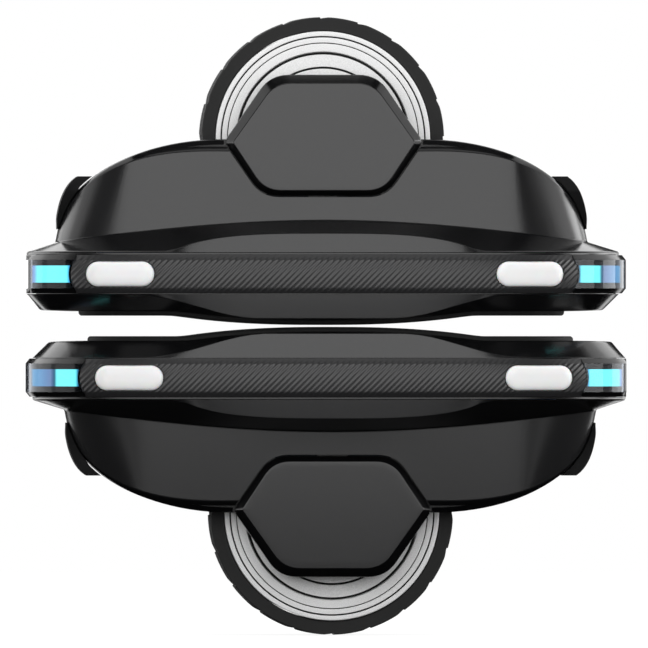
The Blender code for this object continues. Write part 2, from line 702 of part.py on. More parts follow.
def make_housing():
    """Lower housing: a boat-shaped shell with an arch over the wheel, screw wells and side openings."""
    shell = loft("housing", housing_rings(0.0, PARTING))
    arch_top = arch("arch_top", ARCH_RADIUS, ARCH_HALF, 0.0)
    boolean(arch_top, box("arch_clip", (-FAR, -FAR, NOSE_TOP), (FAR, FAR, FAR)), "INTERSECT")
    boolean(shell, arch_top, "UNION")
    chamber = loft("housing_chamber", housing_rings(HOUSING_WALL, PLATE_TOP), cutters)
    boolean(chamber, arch("arch_keep", ARCH_RADIUS, ARCH_HALF, -JOIN))
    boolean(chamber, posts("boss_keep", BOSS_RADIUS, -FAR, PLATE_BOTTOM - SEAT))
    sleeve = SIDE_HALF - CONTROL_SLEEVE
    for x, radius in ((CONTROL_PLACE, BUTTON_RADIUS), (-CONTROL_PLACE, PORT_RADIUS)):
        boolean(chamber, cylinder("sleeve_keep", radius + SEAT + SLEEVE_WALL, sleeve, FAR,
                                  (x, CONTROL_Z), "Y"))
    boolean(shell, chamber)
    boolean(shell, arch("wheel_well", WELL_INNER, WELL_HALF, -FAR))
    boolean(shell, posts("screw_wells", WELL_RADIUS, -FAR, SCREW_SEAT))
    boolean(shell, posts("screw_holes", SCREW_RADIUS + SEAT, 0.0, FAR, SCREW_STEPS))
    notch = rounded(cover_corners(grow=SEAT), COVER_CORNER)
    slot = AXLE_RADIUS + SEAT
    for side in (-1, 1):
        low, high = sorted((side * (WALL_INNER - JOIN), side * FAR))
        boolean(shell, plate("cover_notch", notch, low, high))
        low, high = sorted((side * (WELL_HALF - JOIN), side * (ARM_INNER + JOIN)))
        boolean(shell, box("axle_slot", (-slot, low, -FAR), (slot, high, slot)))
        low, high = sorted((side * (ARCH_HALF + SEAT / 2), side * WALL_INNER))
        boolean(shell, box("arm_slot", (-COVER_LENGTH / 2, low, -FAR),
                           (COVER_LENGTH / 2, high, HOUSING_FLOOR + HOUSING_WALL + JOIN)))
    for x, radius in ((CONTROL_PLACE, BUTTON_RADIUS), (-CONTROL_PLACE, PORT_RADIUS)):
        boolean(shell, cylinder("control_hole", radius + SEAT, sleeve - JOIN, FAR, (x, CONTROL_Z), "Y"))
    finish(shell, HOUSING_PLASTIC)


def cover_rings():
    """Rings of the deck cover from its lower edge up round the band's seat to the mat's pocket."""
    plan = shell_outline()
    seat = band_outline(BAND_SEAT, BAND_SEAT)
    panel = []
    for x, y in shell_outline(LIP):
        share = upper_panel(x)
        shrink = 1.0 - UPPER_PANEL_LEAN * share / BAND_SIDE
        panel.append((x, y * shrink, BAND_TOP + SEAT + LIP + UPPER_PANEL_RISE * share))
    pocket = oval(MAT_LENGTH / 2 + SEAT, MAT_WIDTH / 2 + SEAT, MAT_FULLNESS)
    return [level(plan, PARTING + SEAT), level(plan, BAND_BOTTOM - SEAT),
            level(seat, BAND_BOTTOM - SEAT), level(seat, BAND_TOP + SEAT),
            level(plan, BAND_TOP + SEAT), panel, level(band_outline(DECK_INSET), deck_height),
            level(pocket, deck_height), level(pocket, lambda x: deck_height(x) - MAT_POCKET)]


def make_deck_cover():
    """Upper shell: carries the band outside and the foot mat in a crowned pocket on top."""
    cover = loft("deck_cover", cover_rings())
    wall = BAND_SEAT + COVER_WALL
    chamber = loft("cover_chamber", [level(band_outline(wall, wall), PARTING - JOIN),
                                     level(band_outline(wall, wall), BAND_TOP - JOIN),
                                     level(band_outline(wall + DECK_INSET, wall), CEILING)], cutters)
    boolean(chamber, posts("deck_bosses", BOSS_RADIUS, PLATE_TOP + SEAT, FAR))
    boolean(cover, chamber)
    boolean(cover, posts("boss_bores", SCREW_RADIUS + SEAT, 0.0, SCREW_SEAT + SCREW_LENGTH, SCREW_STEPS))
    hole = SENSOR_EYE / 2 + SEAT
    for x in (-SENSOR_PLACE / 2, SENSOR_PLACE / 2):
        boolean(cover, box("sensor_hole", (x - hole, -hole, 0.0), (x + hole, hole, FAR)))
    finish(cover, HOUSING_PLASTIC)


def make_foot_mat():
    """The crowned rubber mat that sinks a little under the foot, grooved across."""
    plan = oval(MAT_LENGTH / 2, MAT_WIDTH / 2, MAT_FULLNESS)
    top = oval(MAT_LENGTH / 2 - MAT_RIM, MAT_WIDTH / 2 - MAT_RIM, MAT_FULLNESS)
    mat = loft("foot_mat", [
        level(plan, lambda x: deck_height(x) - MAT_SUNK),
        level(plan, lambda x: deck_height(x) + MAT_PROUD - MAT_RIM),
        level(top, lambda x: deck_height(x) + MAT_PROUD)])
    bm = bmesh.new()
    for index in range(MAT_GROOVES):
        for side in (-1, 1):
            x = side * (CROWN_LENGTH / 2 + MAT_GROOVE_PITCH * (index + 0.5))
            centre = Vector((x, 0.0, DECK_FLAT + MAT_PROUD + MAT_GROOVE_DEPTH))
            size = (MAT_GROOVE_WIDTH, MAT_GROOVE_LENGTH, 4 * MAT_GROOVE_DEPTH)
            place = Matrix.Translation(centre) @ Matrix.Diagonal(size).to_4x4()
            bmesh.ops.create_cube(bm, size=1.0, matrix=place)
    finish(boolean(mat, new_object("mat_grooves", bm, cutters)), RUBBER)


def band_skin(name, outer, inner, low, high, bevel=0.0):
    """A closed ring that follows the band, from one inset to another, with its outer edges bevelled."""
    bm = bmesh.new()
    back = band_outline(inner, inner)
    edge = band_outline(outer + bevel, outer)
    face = band_outline(outer, outer)
    rings = [level(back, low), level(edge, low), level(face, low + bevel), level(face, high - bevel),
             level(edge, high), level(back, high)]
    if not bevel:
        rings = [rings[0], rings[2], rings[3], rings[5]]
    rows = [[bm.verts.new(point) for point in ring] for ring in rings]
    for low_row, high_row in zip(rows, rows[1:] + rows[:1]):
        for here in range(OUTLINE_STEPS):
            after = (here + 1) % OUTLINE_STEPS
            bm.faces.new((low_row[here], low_row[after], high_row[after], high_row[here]))
    return new_object(name, bm)


def end_zone(name, side, start):
    """Everything past the bowed line where the side trim gives way to the lens."""
    span = BAND_HEIGHT
    outline = [(side * FAR, BAND_CENTRE - span)]
    for step in range(9):
        share = step / 4 - 1.0
        outline.append((side * (start - LENS_BOW * share * share), BAND_CENTRE + span * share / 2))
    outline[1] = (outline[1][0], BAND_CENTRE - span)
    outline[-1] = (outline[-1][0], BAND_CENTRE + span)
    return plate(name, outline + [(side * FAR, BAND_CENTRE + span)], -FAR, FAR)


def pill(name, x, grow=0.0, low_y=-FAR, high_y=FAR):
    """The long round outline of a side pad, as a solid along Y."""
    radius = PAD_HEIGHT / 2 + grow
    reach = (PAD_LENGTH - PAD_HEIGHT) / 2
    outline = arc((x + reach, BAND_CENTRE), radius, -90, 90, 5)
    outline += arc((x - reach, BAND_CENTRE), radius, 90, 270, 5)
    return plate(name, outline, low_y, high_y)


def make_band():
    """Ribbed side trims, white pads, and smoked lenses with their light strips round both ends."""
    inner = BAND_BACK
    low, high = BAND_BOTTOM, BAND_TOP
    for side, name in ((-1, "side_trim_left"), (1, "side_trim_right")):
        trim = band_skin(name, 0.0, inner, low, high, BAND_BEVEL)
        near, past = sorted((0.0, side * FAR))
        boolean(trim, box("trim_side", (-FAR, near, 0.0), (FAR, past, FAR)), "INTERSECT")
        for end in (-1, 1):
            boolean(trim, end_zone("trim_end", end, LENS_START - SEAT))
            boolean(trim, pill("pad_pocket", end * PAD_PLACE, SEAT))
        finish(trim, TRIM_PLASTIC)
    for end, end_name in ((1, "front"), (-1, "rear")):
        for side, side_name in ((-1, "left"), (1, "right")):
            pad = band_skin("side_pad_" + end_name + "_" + side_name, -PAD_PROUD, inner,
                            BAND_CENTRE - PAD_HEIGHT, BAND_CENTRE + PAD_HEIGHT)
            low_y, high_y = sorted((0.0, side * FAR))
            boolean(pad, pill("pad_outline", end * PAD_PLACE, low_y=low_y, high_y=high_y), "INTERSECT")
            finish(pad, PAD_PLASTIC)
        lens = band_skin("light_lens_" + end_name, 0.0, LENS_THICKNESS, low, high, BAND_BEVEL)
        boolean(lens, end_zone("lens_zone", end, LENS_START), "INTERSECT")
        finish(lens, LENS_PLASTIC)
        board = band_skin("light_board_" + end_name, LENS_THICKNESS + SEAT, inner,
                          BAND_CENTRE - LIGHT_HEIGHT / 2, BAND_CENTRE + LIGHT_HEIGHT / 2)
        boolean(board, end_zone("board_zone", end, LENS_START + LIGHT_START), "INTERSECT")
        finish(board, LIGHT_BOARD)


def make_nose_bumpers():
    """A rubber pad on each nose, thickest at its foot, which takes the knocks."""
    foot, top = HOUSING_FLOOR + BUMPER_FOOT, NOSE_TOP - BUMPER_TOP
    tip = BUMPER_LENGTH / 2
    plan = oval(tip + SEAT, SIDE_HALF + BUMPER_SIDE, HOUSING_FULLNESS)
    outside = []
    for step in range(BUMPER_STEPS + 1):
        z = foot + (top - foot) * step / BUMPER_STEPS
        drop = (NOSE_TOP - z) / (NOSE_TOP - foot + BUMPER_SQUARE)
        bulge = (1.0 - drop ** BUMPER_FULLNESS) ** (1.0 / BUMPER_FULLNESS)
        outside.append((BUMPER_START + (tip - BUMPER_START) * bulge, z))
    for end, name in ((1, "nose_bumper_front"), (-1, "nose_bumper_rear")):
        outline = [(end * x, z) for x, z in outside + [(BUMPER_BACK, top), (BUMPER_BACK, foot)]]
        bumper = plate(name, outline, -BUMPER_WIDTH / 2, BUMPER_WIDTH / 2, parts)
        boolean(bumper, loft("bumper_plan", [level(plan, 0.0), level(plan, FAR)], cutters), "INTERSECT")
        seat = [[(x + end * BUMPER_GAP, y, z - BUMPER_GAP) for x, y, z in ring]
                for ring in housing_rings(0.0, PARTING)]
        boolean(bumper, loft("nose_seat", seat, cutters))
        finish(bumper, RUBBER)


def slab(name, middle, length, width, low, high, collection=cutters):
    """A box of a length and width about a place (x, y), between two heights."""
    return box(name, (middle[0] - length / 2, middle[1] - width / 2, low),
               (middle[0] + length / 2, middle[1] + width / 2, high), collection)


def make_inside():
    """Battery at the front, control board at the rear, foot sensors under the deck."""
    start = ARCH_RADIUS + INSIDE_GAP
    hung = PLATE_BOTTOM - SEAT
    battery = slab("battery_pack", (start + BATTERY_LENGTH / 2, 0.0), BATTERY_LENGTH, INSIDE_WIDTH,
                   hung - BATTERY_HEIGHT, hung, parts)
    bevel = battery.modifiers.new("edges", "BEVEL")
    bevel.width = BATTERY_EDGE
    bevel.segments = 1
    finish(battery, BATTERY_SLEEVE)
    top = hung - BOARD_DROP
    middle = -start - BOARD_LENGTH / 2
    under = top - JOIN
    board = slab("control_board", (middle, 0.0), BOARD_LENGTH, INSIDE_WIDTH, top - BOARD_THICKNESS, top,
                 parts)
    boolean(board, slab("board_spacer", (middle, 0.0), SPACER_LENGTH, SPACER_WIDTH, under, hung), "UNION")
    boolean(board, slab("heat_sink", (middle, 0.0), HEAT_SINK_LENGTH, HEAT_SINK_WIDTH,
                        under - HEAT_SINK_HEIGHT, under), "UNION")
    for side in (-1, 1):
        boolean(board, cylinder("capacitor", CAPACITOR_RADIUS, under - CAPACITOR_LENGTH, under,
                                (middle, side * CAPACITOR_PLACE), steps=BOSS_STEPS), "UNION")
    finish(board, CIRCUIT_BOARD)
    roof = CEILING - SEAT
    sensors = slab("foot_sensors", (0.0, 0.0), SENSOR_PLACE + SENSOR_LENGTH, SENSOR_WIDTH,
                   roof - BOARD_THICKNESS, roof, parts)
    for side in (-1, 1):
        boolean(sensors, slab("sensor_eye", (side * SENSOR_PLACE / 2, 0.0), SENSOR_EYE, SENSOR_EYE,
                              roof - JOIN, roof + SENSOR_RISE), "UNION")
    finish(sensors, CIRCUIT_BOARD)


def make_controls():
    """Power button, charging socket and its hinged rubber cap, on the shoe's inner side."""
    place = (CONTROL_PLACE, CONTROL_Z)
    button = cylinder("power_button", BUTTON_RADIUS, SIDE_HALF - CONTROL_SLEEVE, SIDE_HALF + BUTTON_PROUD,
                      place, "Y", collection=parts)
    edge = button.modifiers.new("edge", "BEVEL")
    edge.width = BUTTON_EDGE
    edge.segments = 1
    edge.limit_method = "ANGLE"
    finish(button, RUBBER, (CONTROL_PLACE, SIDE_HALF, CONTROL_Z))
    place = (-CONTROL_PLACE, CONTROL_Z)
    floor = SIDE_HALF - PORT_DEPTH
    port = cylinder("charge_port", PORT_RADIUS, floor - PORT_FLOOR, SIDE_HALF, place, "Y",
                    collection=parts)
    boolean(port, cylinder("port_bore", PORT_BORE, floor, FAR, place, "Y"))
    boolean(port, cylinder("port_pin", PORT_PIN, floor - JOIN, floor + PORT_PIN_LENGTH, place, "Y",
                           SCREW_STEPS), "UNION")
    finish(port, STEEL)
    near = SIDE_HALF + SEAT
    face = near + CAP_THICKNESS
    hinge_z = CONTROL_Z - CAP_RADIUS - CAP_HINGE_DROP
    cap = cylinder("charge_port_cap", CAP_RADIUS, near, face, place, "Y", collection=parts)
    boolean(cap, cylinder("cap_plug", PORT_BORE - SEAT, near - CAP_PLUG, near + JOIN, place, "Y"), "UNION")
    boolean(cap, box("cap_strap", (place[0] - CAP_STRAP / 2, near, hinge_z - CAP_THICKNESS / 2),
                     (place[0] + CAP_STRAP / 2, face, CONTROL_Z)), "UNION")
    finish(cap, RUBBER, (place[0], (near + face) / 2, hinge_z))


def place_pair():
    """Stands one shoe on its wheel and hangs its copy upside down over it, deck to deck."""
    pieces = list(parts.objects)
    places = (("lower_", Matrix.Translation((SHOE_OFFSET, 0.0, WHEEL_RADIUS))),
              ("upper_", Matrix.Translation((-SHOE_OFFSET, 0.0, SHOE_HEIGHT * 2 + DECK_GAP - WHEEL_RADIUS))
               @ Matrix.Rotation(math.pi, 4, "Y")))
    for prefix, place in places:
        frame = bpy.data.objects.new(prefix + "shoe", None)
        frame.matrix_world = place
        parts.objects.link(frame)
        for piece in pieces:
            copy = piece.copy()
            copy.name = prefix + piece.name
            copy.parent = frame
            parts.objects.link(copy)
    for piece in pieces:
        bpy.data.objects.remove(piece)


def main():
    for obj in list(bpy.data.objects):
        bpy.data.objects.remove(obj)
    bpy.context.scene.collection.children.link(parts)
    bpy.context.scene.collection.children.link(cutters)
    make_tyre()
    make_hub()
    make_motor()
    make_chassis()
    make_axle_covers()
    make_housing()
    make_deck_cover()
    make_foot_mat()
    make_band()
    make_nose_bumpers()
    make_inside()
    make_controls()
    place_pair()


main()
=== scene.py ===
"""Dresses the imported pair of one-wheel hover shoes in their finished shapes, materials and light.

Every piece is modelled once in the shoe's own frame, in millimetres: the wheel's axle runs along Y
through the origin, X runs along the foot and +Z points to the deck. A finished piece is then put on
the lower shoe, which stands on its wheel, and on the upper one, which is upside down over it.
"""
import json
import math

import bmesh
import bpy
from mathutils import Matrix, Vector


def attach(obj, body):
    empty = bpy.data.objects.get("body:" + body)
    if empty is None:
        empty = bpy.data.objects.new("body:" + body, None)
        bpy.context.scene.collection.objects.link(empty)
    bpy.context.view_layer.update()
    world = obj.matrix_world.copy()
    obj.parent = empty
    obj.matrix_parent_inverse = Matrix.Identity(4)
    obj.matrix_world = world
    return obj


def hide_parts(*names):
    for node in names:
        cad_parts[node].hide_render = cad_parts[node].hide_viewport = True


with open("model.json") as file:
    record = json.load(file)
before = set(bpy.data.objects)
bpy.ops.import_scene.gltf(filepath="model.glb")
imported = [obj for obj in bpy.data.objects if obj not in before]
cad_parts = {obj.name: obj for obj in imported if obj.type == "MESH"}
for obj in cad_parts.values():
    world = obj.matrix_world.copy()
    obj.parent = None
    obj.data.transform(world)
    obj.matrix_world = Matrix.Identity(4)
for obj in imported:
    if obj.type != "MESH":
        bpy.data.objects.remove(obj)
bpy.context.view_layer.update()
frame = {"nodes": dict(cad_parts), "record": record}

bl_info = {
    "name": "Hover Shoe Pair",
    "version": (1, 0, 0),
    "blender": (4, 5, 0),
    "location": "3D View > Sidebar > Hover Shoes",
    "description": "Builds the finished pieces, materials and studio of a pair of one-wheel hover shoes",
    "category": "Object",
}

MM = 0.001
PLACES = {
    "lower": Matrix.Translation((0.0022, 0.0, 0.0600)) @ Matrix.Scale(MM, 4),
    "upper": Matrix.Translation((-0.0022, 0.0, 0.2441)) @ Matrix.Rotation(math.pi, 4, "Y")
             @ Matrix.Scale(MM, 4),
}
BODY_OF = {node: body for body, nodes in frame["record"]["behaviour"]["bodies"].items() for node in nodes}

# In millimetres, as all sizes before the studio's: the gap between a piece and its seat, how far a cutting
# shape reaches past a face, a reach past the whole shoe, and the radius at which a turned shape starts,
# before its pole is merged
SEAT = 0.3
JOIN = 1.0
FAR = 400.0
POLE = 0.01

# Wheel
WHEEL_RADIUS = 60.0
TYRE_SIDE = 31.0
TYRE_INNER = 53.0
TYRE_SHOULDER = 1.4
SHOULDER_FOOT = 0.6
TYRE_CROWN = 0.4
TYRE_EDGE = 0.4
TREAD_STEPS = 20
# Degrees from the wheel's highest point to the first step's tip, and of a step's steep side and run-out
TREAD_TIP = -1.3
TREAD_RISE = 0.25
TREAD_RUN_OUT = 1.2
HUB_FACE = 32.5
HUB_BACK = 29.5
RIM_RADIUS = 52.7
HUB_STEP_RADIUS = 42.3
HUB_STEP = 0.8
MAGNET_RADIUS = 44.2
BEARING_SEAT = 10.8
BEARING_WIDTH = 7.0
BEARING_HOLDER = 3.0
# Grooves in the hub's face: radius, width as a multiple of the user's groove, and depth
RIM_GROOVES = ((50.0, 1.4, 1.1), (46.9, 0.9, 0.5))
MIDDLE_GROOVE = (34.8, 2.0, 1.1)
HUB_GROOVE_EASE = 0.25
HUB_GROOVE_LIP = 0.15
# What lies deeper than this in a groove gets dark rubber, which paints the groove's shade
HUB_GROOVE_SHADE_DEPTH = 0.16
# Corners of the hub's rim and of its step: distance in from the rim or out from the step, and depth
RIM_CORNERS = ((0.0, 0.6), (0.2, 0.2), (0.6, 0.0))
STEP_CORNERS = ((0.9, 0.0), (0.5, HUB_GROOVE_LIP))
STEP_GROOVE = ((0.1, 0.9), (-0.6, 0.9), (-1.0, 0.12), (-3.2, 0.0))
BEARING_EDGE = 0.5

# Lower housing
HOUSING_HALF = 131.0
SIDE_HALF = 50.0
HOUSING_FULLNESS = 3.5
HOUSING_WALL = 2.6
HOUSING_FLOOR = 0.4
FLAT_HALF = 50.0
NOSE_TOP = 50.8
WAIST_TOP = 40.2
WAIST_CURVE = 0.35
RIM_BEVEL = 5.6
# The bevel loses this share of its width between two shares of the housing's half length
BEVEL_LOSS = 0.8
BEVEL_WIDE = 0.35
BEVEL_NARROW = 0.92
WALL_DRAFT = 0.8
NOSE_RAKE = 0.5
RAKE_START = 88.0
RAKE_END = 118.0
RAKE_TOP = 46.0
WELL_INNER = 64.0
WELL_HALF = 34.5
ARCH_RADIUS = 66.4
ARCH_HALF = 36.9
ARM_INNER = 37.2
PARTING = 56.0
SIDE_PANEL_DROP = 8.7
SIDE_PANEL_LEAN = 0.1
SIDE_PANEL_HALF = 74.0
SIDE_PANEL_CURVE = 3.2
SIDE_PANEL_EASE = 0.75
COVER_BAY_HALF = 49.0
AXLE_SLOT = 6.3
CONTROL_DEPTH = 7.0
SLEEVE_WALL = 1.6
# Rounding of the shells' edges, as multiples of the user's edge rounding
HOUSING_ROUNDING = (1.4, 1.4, 1.0, 0.6)
DECK_ROUNDING = (0.0, 0.0, 0.0, 0.4, 0.7, 1.6, 0.0)
AXLE_COVER_ROUNDING = (1.0, 0.7)

# Band, deck cover and foot mat
BAND_TIP = 150.0
NOSE_FLAT = 144.8
BAND_SIDE = 85.0
BAND_FULLNESS = 2.6
BAND_PROUD = 3.4
BAND_SEAT = 4.9
BAND_BACK = 4.6
BAND_BEVEL = 2.4
BAND_BARREL = 0.62
BAND_EDGE = 0.3
TRIM_OVERRUN = 12.0
# Where the ribs fade out: distance past the barrelled face, and how much deeper
TRIM_FADE = 0.2
TRIM_FADE_DEPTH = 0.15
BAND_SLOPE = 1.9
BAND_CENTRE = 66.6
BAND_BOTTOM = 57.2
BAND_TOP = 76.0
LIP = 0.6
UPPER_PANEL_RISE = 11.5
UPPER_PANEL_LEAN = 0.3
UPPER_PANEL_FULL = 33.0
UPPER_PANEL_END = 92.0
PLATE_BOTTOM = 66.7
PLATE_TOP = 70.7
CEILING = 78.4
DECK_FLAT = 84.8
DECK_CROWN = 4.6
CROWN_HALF = 72.0
CROWN_CURVE = 2.4
NOSE_DIP = 0.7
DECK_INSET = 11.5
COVER_WALL = 2.4
SENSOR_PLACES = (-28.0, 28.0)
SENSOR_HOLE = 4.8
MAT_HALF_LENGTH = 119.5
MAT_HALF_WIDTH = 70.0
MAT_FULLNESS = 3.0
MAT_PROUD = 2.2
MAT_SUNK = 1.4
MAT_POCKET = 3.2
MAT_EDGE = 1.0
MAT_RIM = 5.0
MAT_ROUNDING = 0.5
MAT_GROOVES = 4
MAT_GROOVE_START = 72.0
MAT_GROOVE_PITCH = 7.0
MAT_GROOVE_HALF = 1.5
MAT_GROOVE_REACH = 38.5
MAT_GROOVE_DEPTH = 0.8
MAT_GROOVE_ABOVE = 3.0

# Pads and lights
PAD_PLACE = 100.4
PAD_LENGTH = 33.5
PAD_HEIGHT = 12.3
# The pad's section from its back to its crown: inset from the pill's outline, and how far proud
PAD_SECTION = ((0.0, -BAND_BACK), (0.0, -1.3), (0.1, -0.85), (0.4, -0.4), (0.9, 0.0), (1.7, 0.3), (3.0, 0.5),
               (4.8, 0.6))
LENS_START = 124.7
LENS_BOW = 3.5
BOW_STEPS = 24
LENS_THICKNESS = 2.2
LIGHT_HEIGHT = 8.4
LIGHT_START = 0.5

# Axle covers, bumpers, screws and controls
COVER_FACE = 52.0
COVER_RIM = 47.0
COVER_SLOPE_LOW = 4.2
COVER_SLOPE_HIGH = 2.94
COVER_CORNER = 9.0
COVER_SIDE_CORNER = 2.0
COVER_HALF = 49.0
COVER_WIDEST = 2.0
COVER_TOP = 28.6
COVER_TOP_HALF = 30.6
COVER_FOOT = -31.2
COVER_FOOT_HALF = 26.2
# How far the side and the other corners move in for each millimetre that the edges are drawn in
SIDE_CORNER_SHARE = 0.607
CORNER_SHARE = 0.525
AXLE_COVER_WALL = 2.2
BUMPER_START = 113.0
BUMPER_BACK = 107.0
BUMPER_TIP = 131.1
BUMPER_FOOT = 18.5
BUMPER_TOP = 44.4
BUMPER_TAPER = 38.0
BUMPER_HALF_WIDTH = 25.0
BUMPER_TOP_HALF = 13.0
BUMPER_WAIST = 24.0
BUMPER_SIDE = 4.0
BUMPER_GAP = 0.5
BUMPER_ROUND = 2.3
BUMPER_TUCK = 0.6
BUMPER_DROP = 2.0
BUMPER_STEPS = 16
BUMPER_INNER = 80.0
SCREW_PLACES = [(x, y) for x in (-84.0, 84.0) for y in (-37.5, 37.5)]
SCREW_WELL = 4.0
SCREW_SEAT = 63.4
SCREW_HEAD = 3.5
SCREW_HEAD_HEIGHT = 3.2
SCREW_HEAD_EDGE = 0.5
SCREW_CORE = 1.9
SCREW_LENGTH = 12.5
SCREW_HOLE = 2.3
SCREW_HOLE_DEPTH = 13.0
SOCKET_RADIUS = 1.7
SOCKET_DEPTH = 2.0
BOSS_RADIUS = 5.8
BUTTON_X = 64.0
CONTROL_Z = 24.0
BUTTON_RADIUS = 5.5
BUTTON_PROUD = 1.2
# The button's face: distance in from its edge, or from its middle, and depth
BUTTON_CORNERS = ((0.0, 0.6), (0.2, 0.2), (0.6, 0.0), (1.4, 0.0), (1.9, 0.35))
BUTTON_DISH = ((2.0, 0.6), (POLE, 0.65))
PORT_RADIUS = 7.0
PORT_BORE = 4.8
PORT_DEPTH = 9.0
PORT_BACK = 3.0
PORT_FLARE = 1.0
FLARE_DEPTH = 0.6
FLARE_REACH = 0.4
PIN_RADIUS = 1.0
PIN_LENGTH = 2.4
CAP_RADIUS = 8.0
CAP_THICKNESS = 2.0
# The cap's plug and its face: distance in from the bore or the cap's edge, and from its back or its front
CAP_PLUG = ((0.7, 1.4), (SEAT, 1.0), (SEAT, 0.0))
CAP_EDGE = ((0.2, 0.0), (0.0, -0.2))
CAP_FACE = ((0.0, 0.7), (0.3, 0.2), (0.9, 0.0), (2.2, 0.0), (2.6, 0.4), (3.4, 0.4))
CAP_STRAP = 8.0
STRAP_THINNER = 0.5
STRAP_END = 1.0
STRAP_OVERLAP = 5.0
HINGE_DROP = 9.5

# Studio: sizes in metres, power in watts and light levels where 1 is white
FLOOR_HALF = 3.0
FLOOR_GLOW = 0.9
SKY_LEVEL = 0.66
# Soft lights: name, place, the point that it faces, width and height, and power
LIGHTS = (
    ("soft_box", (-0.21, -0.9, 0.6), (-0.21, 0.0, 0.6), (2.06, 1.06), 8.9),
    ("overhead_box", (0.0, -0.52, 1.35), (0.0, -0.52, 0.0), (1.2, 0.7), 2.2),
    ("soft_box", (-0.21, 0.9, 0.6), (-0.21, 0.0, 0.6), (2.06, 1.06), 5.1),
    ("overhead_box", (0.0, 0.52, 1.35), (0.0, 0.52, 0.0), (1.2, 0.7), 2.2),
    ("side_box", (-1.0, -0.06, 0.25), (0.0, -0.06, 0.25), (0.34, 0.4), 0.42),
    ("edge_light", (-1.1, 0.5, 0.45), (0.0, 0.0, 0.24), (0.5, 0.7), 1.5),
    ("side_box", (1.0, -0.16, 0.25), (0.0, -0.16, 0.25), (0.34, 0.4), 1.6),
    ("edge_light", (1.1, 0.5, 0.45), (0.0, 0.0, 0.24), (0.5, 0.7), 4.6),
)
# Upright cards: the places of their two ends on the floor, and their lowest and highest edges
UPRIGHT_CARDS = (
    ((-1.25, -0.9), (-1.08, -0.24), 0.0, 1.5), ((-0.17, 0.87), (-0.5, 0.87), 0.001, 0.46),
    ((0.82, -0.9), (1.08, -0.40), 0.0, 1.5), ((0.17, 0.87), (0.5, 0.87), 0.001, 0.46),
    ((-1.25, -0.88), (0.82, -0.88), 0.001, 0.08), ((-1.25, -0.88), (0.82, -0.88), 0.56, 1.14),
    ((-1.25, 0.88), (0.82, 0.88), 0.001, 0.08),
)
# Flat cards: their half length, their nearest and farthest edges, and their height
FLAT_CARDS = ((0.62, -0.62, -0.36, 0.002), (0.62, -0.27, 0.45, 0.002), (1.1, -0.95, 0.95, 1.5))
CAMERA_TARGET = (-0.0008, 0.0, 0.1530)
CAMERA_DISTANCE = 12.0
CAMERA_TURN = 1.6
PICTURE_WIDTH = 0.3192
SENSOR_WIDTH = 36.0
FARTHEST_SEEN = 100.0

# A wave texture's scale is about this over the length of a wave
WAVE_SCALE = 2.0 / 6.2832
# How much closer an outline's points lie at mid-length than at the noses
OUTLINE_BUNCHING = 1.25
OUTLINE_STEPS = 128
CONTROL_STEPS = 48
WHEEL_STEPS = 160
ROUND_STEPS = 32
SATIN, POLISHED = 0, 1
LIT = 1


def linear(code):
    """Turns an sRGB hex colour into linear red, green, blue and alpha."""
    channels = [int(code[index:index + 2], 16) / 255.0 for index in (1, 3, 5)]
    return tuple(c / 12.92 if c <= 0.04045 else ((c + 0.055) / 1.055) ** 2.4 for c in channels) + (1.0,)


# User settings

class HoverShoeSizes(bpy.types.PropertyGroup):
    """Sizes of the fine detail, which a user may change before building."""
    rib_pitch: bpy.props.FloatProperty(
        name="Rib Pitch", description="Distance between the trim's slanted ribs",
        default=0.0030, min=0.001, max=0.01, unit="LENGTH", precision=5)
    rib_depth: bpy.props.FloatProperty(
        name="Rib Depth", description="Depth of the grooves between the ribs",
        default=0.00034, min=0.0, max=0.002, unit="LENGTH", precision=5)
    tread_step: bpy.props.FloatProperty(
        name="Tread Step", description="Height of the tyre's saw-tooth steps",
        default=0.00078, min=0.0, max=0.002, unit="LENGTH", precision=5)
    tread_ramp: bpy.props.FloatProperty(
        name="Tread Ramp", description="Length of the slope after each step",
        default=0.0044, min=0.001, max=0.01, unit="LENGTH", precision=5)
    hub_groove: bpy.props.FloatProperty(
        name="Hub Groove", description="Width of the turned grooves in the hub",
        default=0.0005, min=0.0002, max=0.002, unit="LENGTH", precision=5)
    edge_round: bpy.props.FloatProperty(
        name="Edge Rounding", description="Radius of the shells' moulded edges",
        default=0.0006, min=0.0002, max=0.002, unit="LENGTH", precision=5)


class HoverShoeColours(bpy.types.PropertyGroup):
    """Colours of the finishes, which a user may change before building."""
    satin: bpy.props.FloatVectorProperty(
        name="Shell Panels", description="Satin black ABS of the shells",
        subtype="COLOR", size=4, min=0.0, max=1.0, default=linear("#151516"))
    polished: bpy.props.FloatVectorProperty(
        name="Shell Chamfers", description="Polished black ABS",
        subtype="COLOR", size=4, min=0.0, max=1.0, default=linear("#0c0c0d"))
    tyre: bpy.props.FloatVectorProperty(
        name="Tyre", description="Rubber of the tyre",
        subtype="COLOR", size=4, min=0.0, max=1.0, default=linear("#292929"))
    hub: bpy.props.FloatVectorProperty(
        name="Hub", description="Powder coat of the hub",
        subtype="COLOR", size=4, min=0.0, max=1.0, default=linear("#f0f0f0"))
    trim: bpy.props.FloatVectorProperty(
        name="Side Trim", description="Ribbed ABS of the band",
        subtype="COLOR", size=4, min=0.0, max=1.0, default=linear("#242425"))
    pad: bpy.props.FloatVectorProperty(
        name="Side Pads", description="White polycarbonate of the pads",
        subtype="COLOR", size=4, min=0.0, max=1.0, default=linear("#f0f0f0"))
    light: bpy.props.FloatVectorProperty(
        name="Light", description="Colour of the lit strips",
        subtype="COLOR", size=4, min=0.0, max=1.0, default=linear("#7efefa"))
    light_edge: bpy.props.FloatVectorProperty(
        name="Light Edge", description="Colour where the strips fade",
        subtype="COLOR", size=4, min=0.0, max=1.0, default=linear("#3ea5d6"))


# Shape helpers

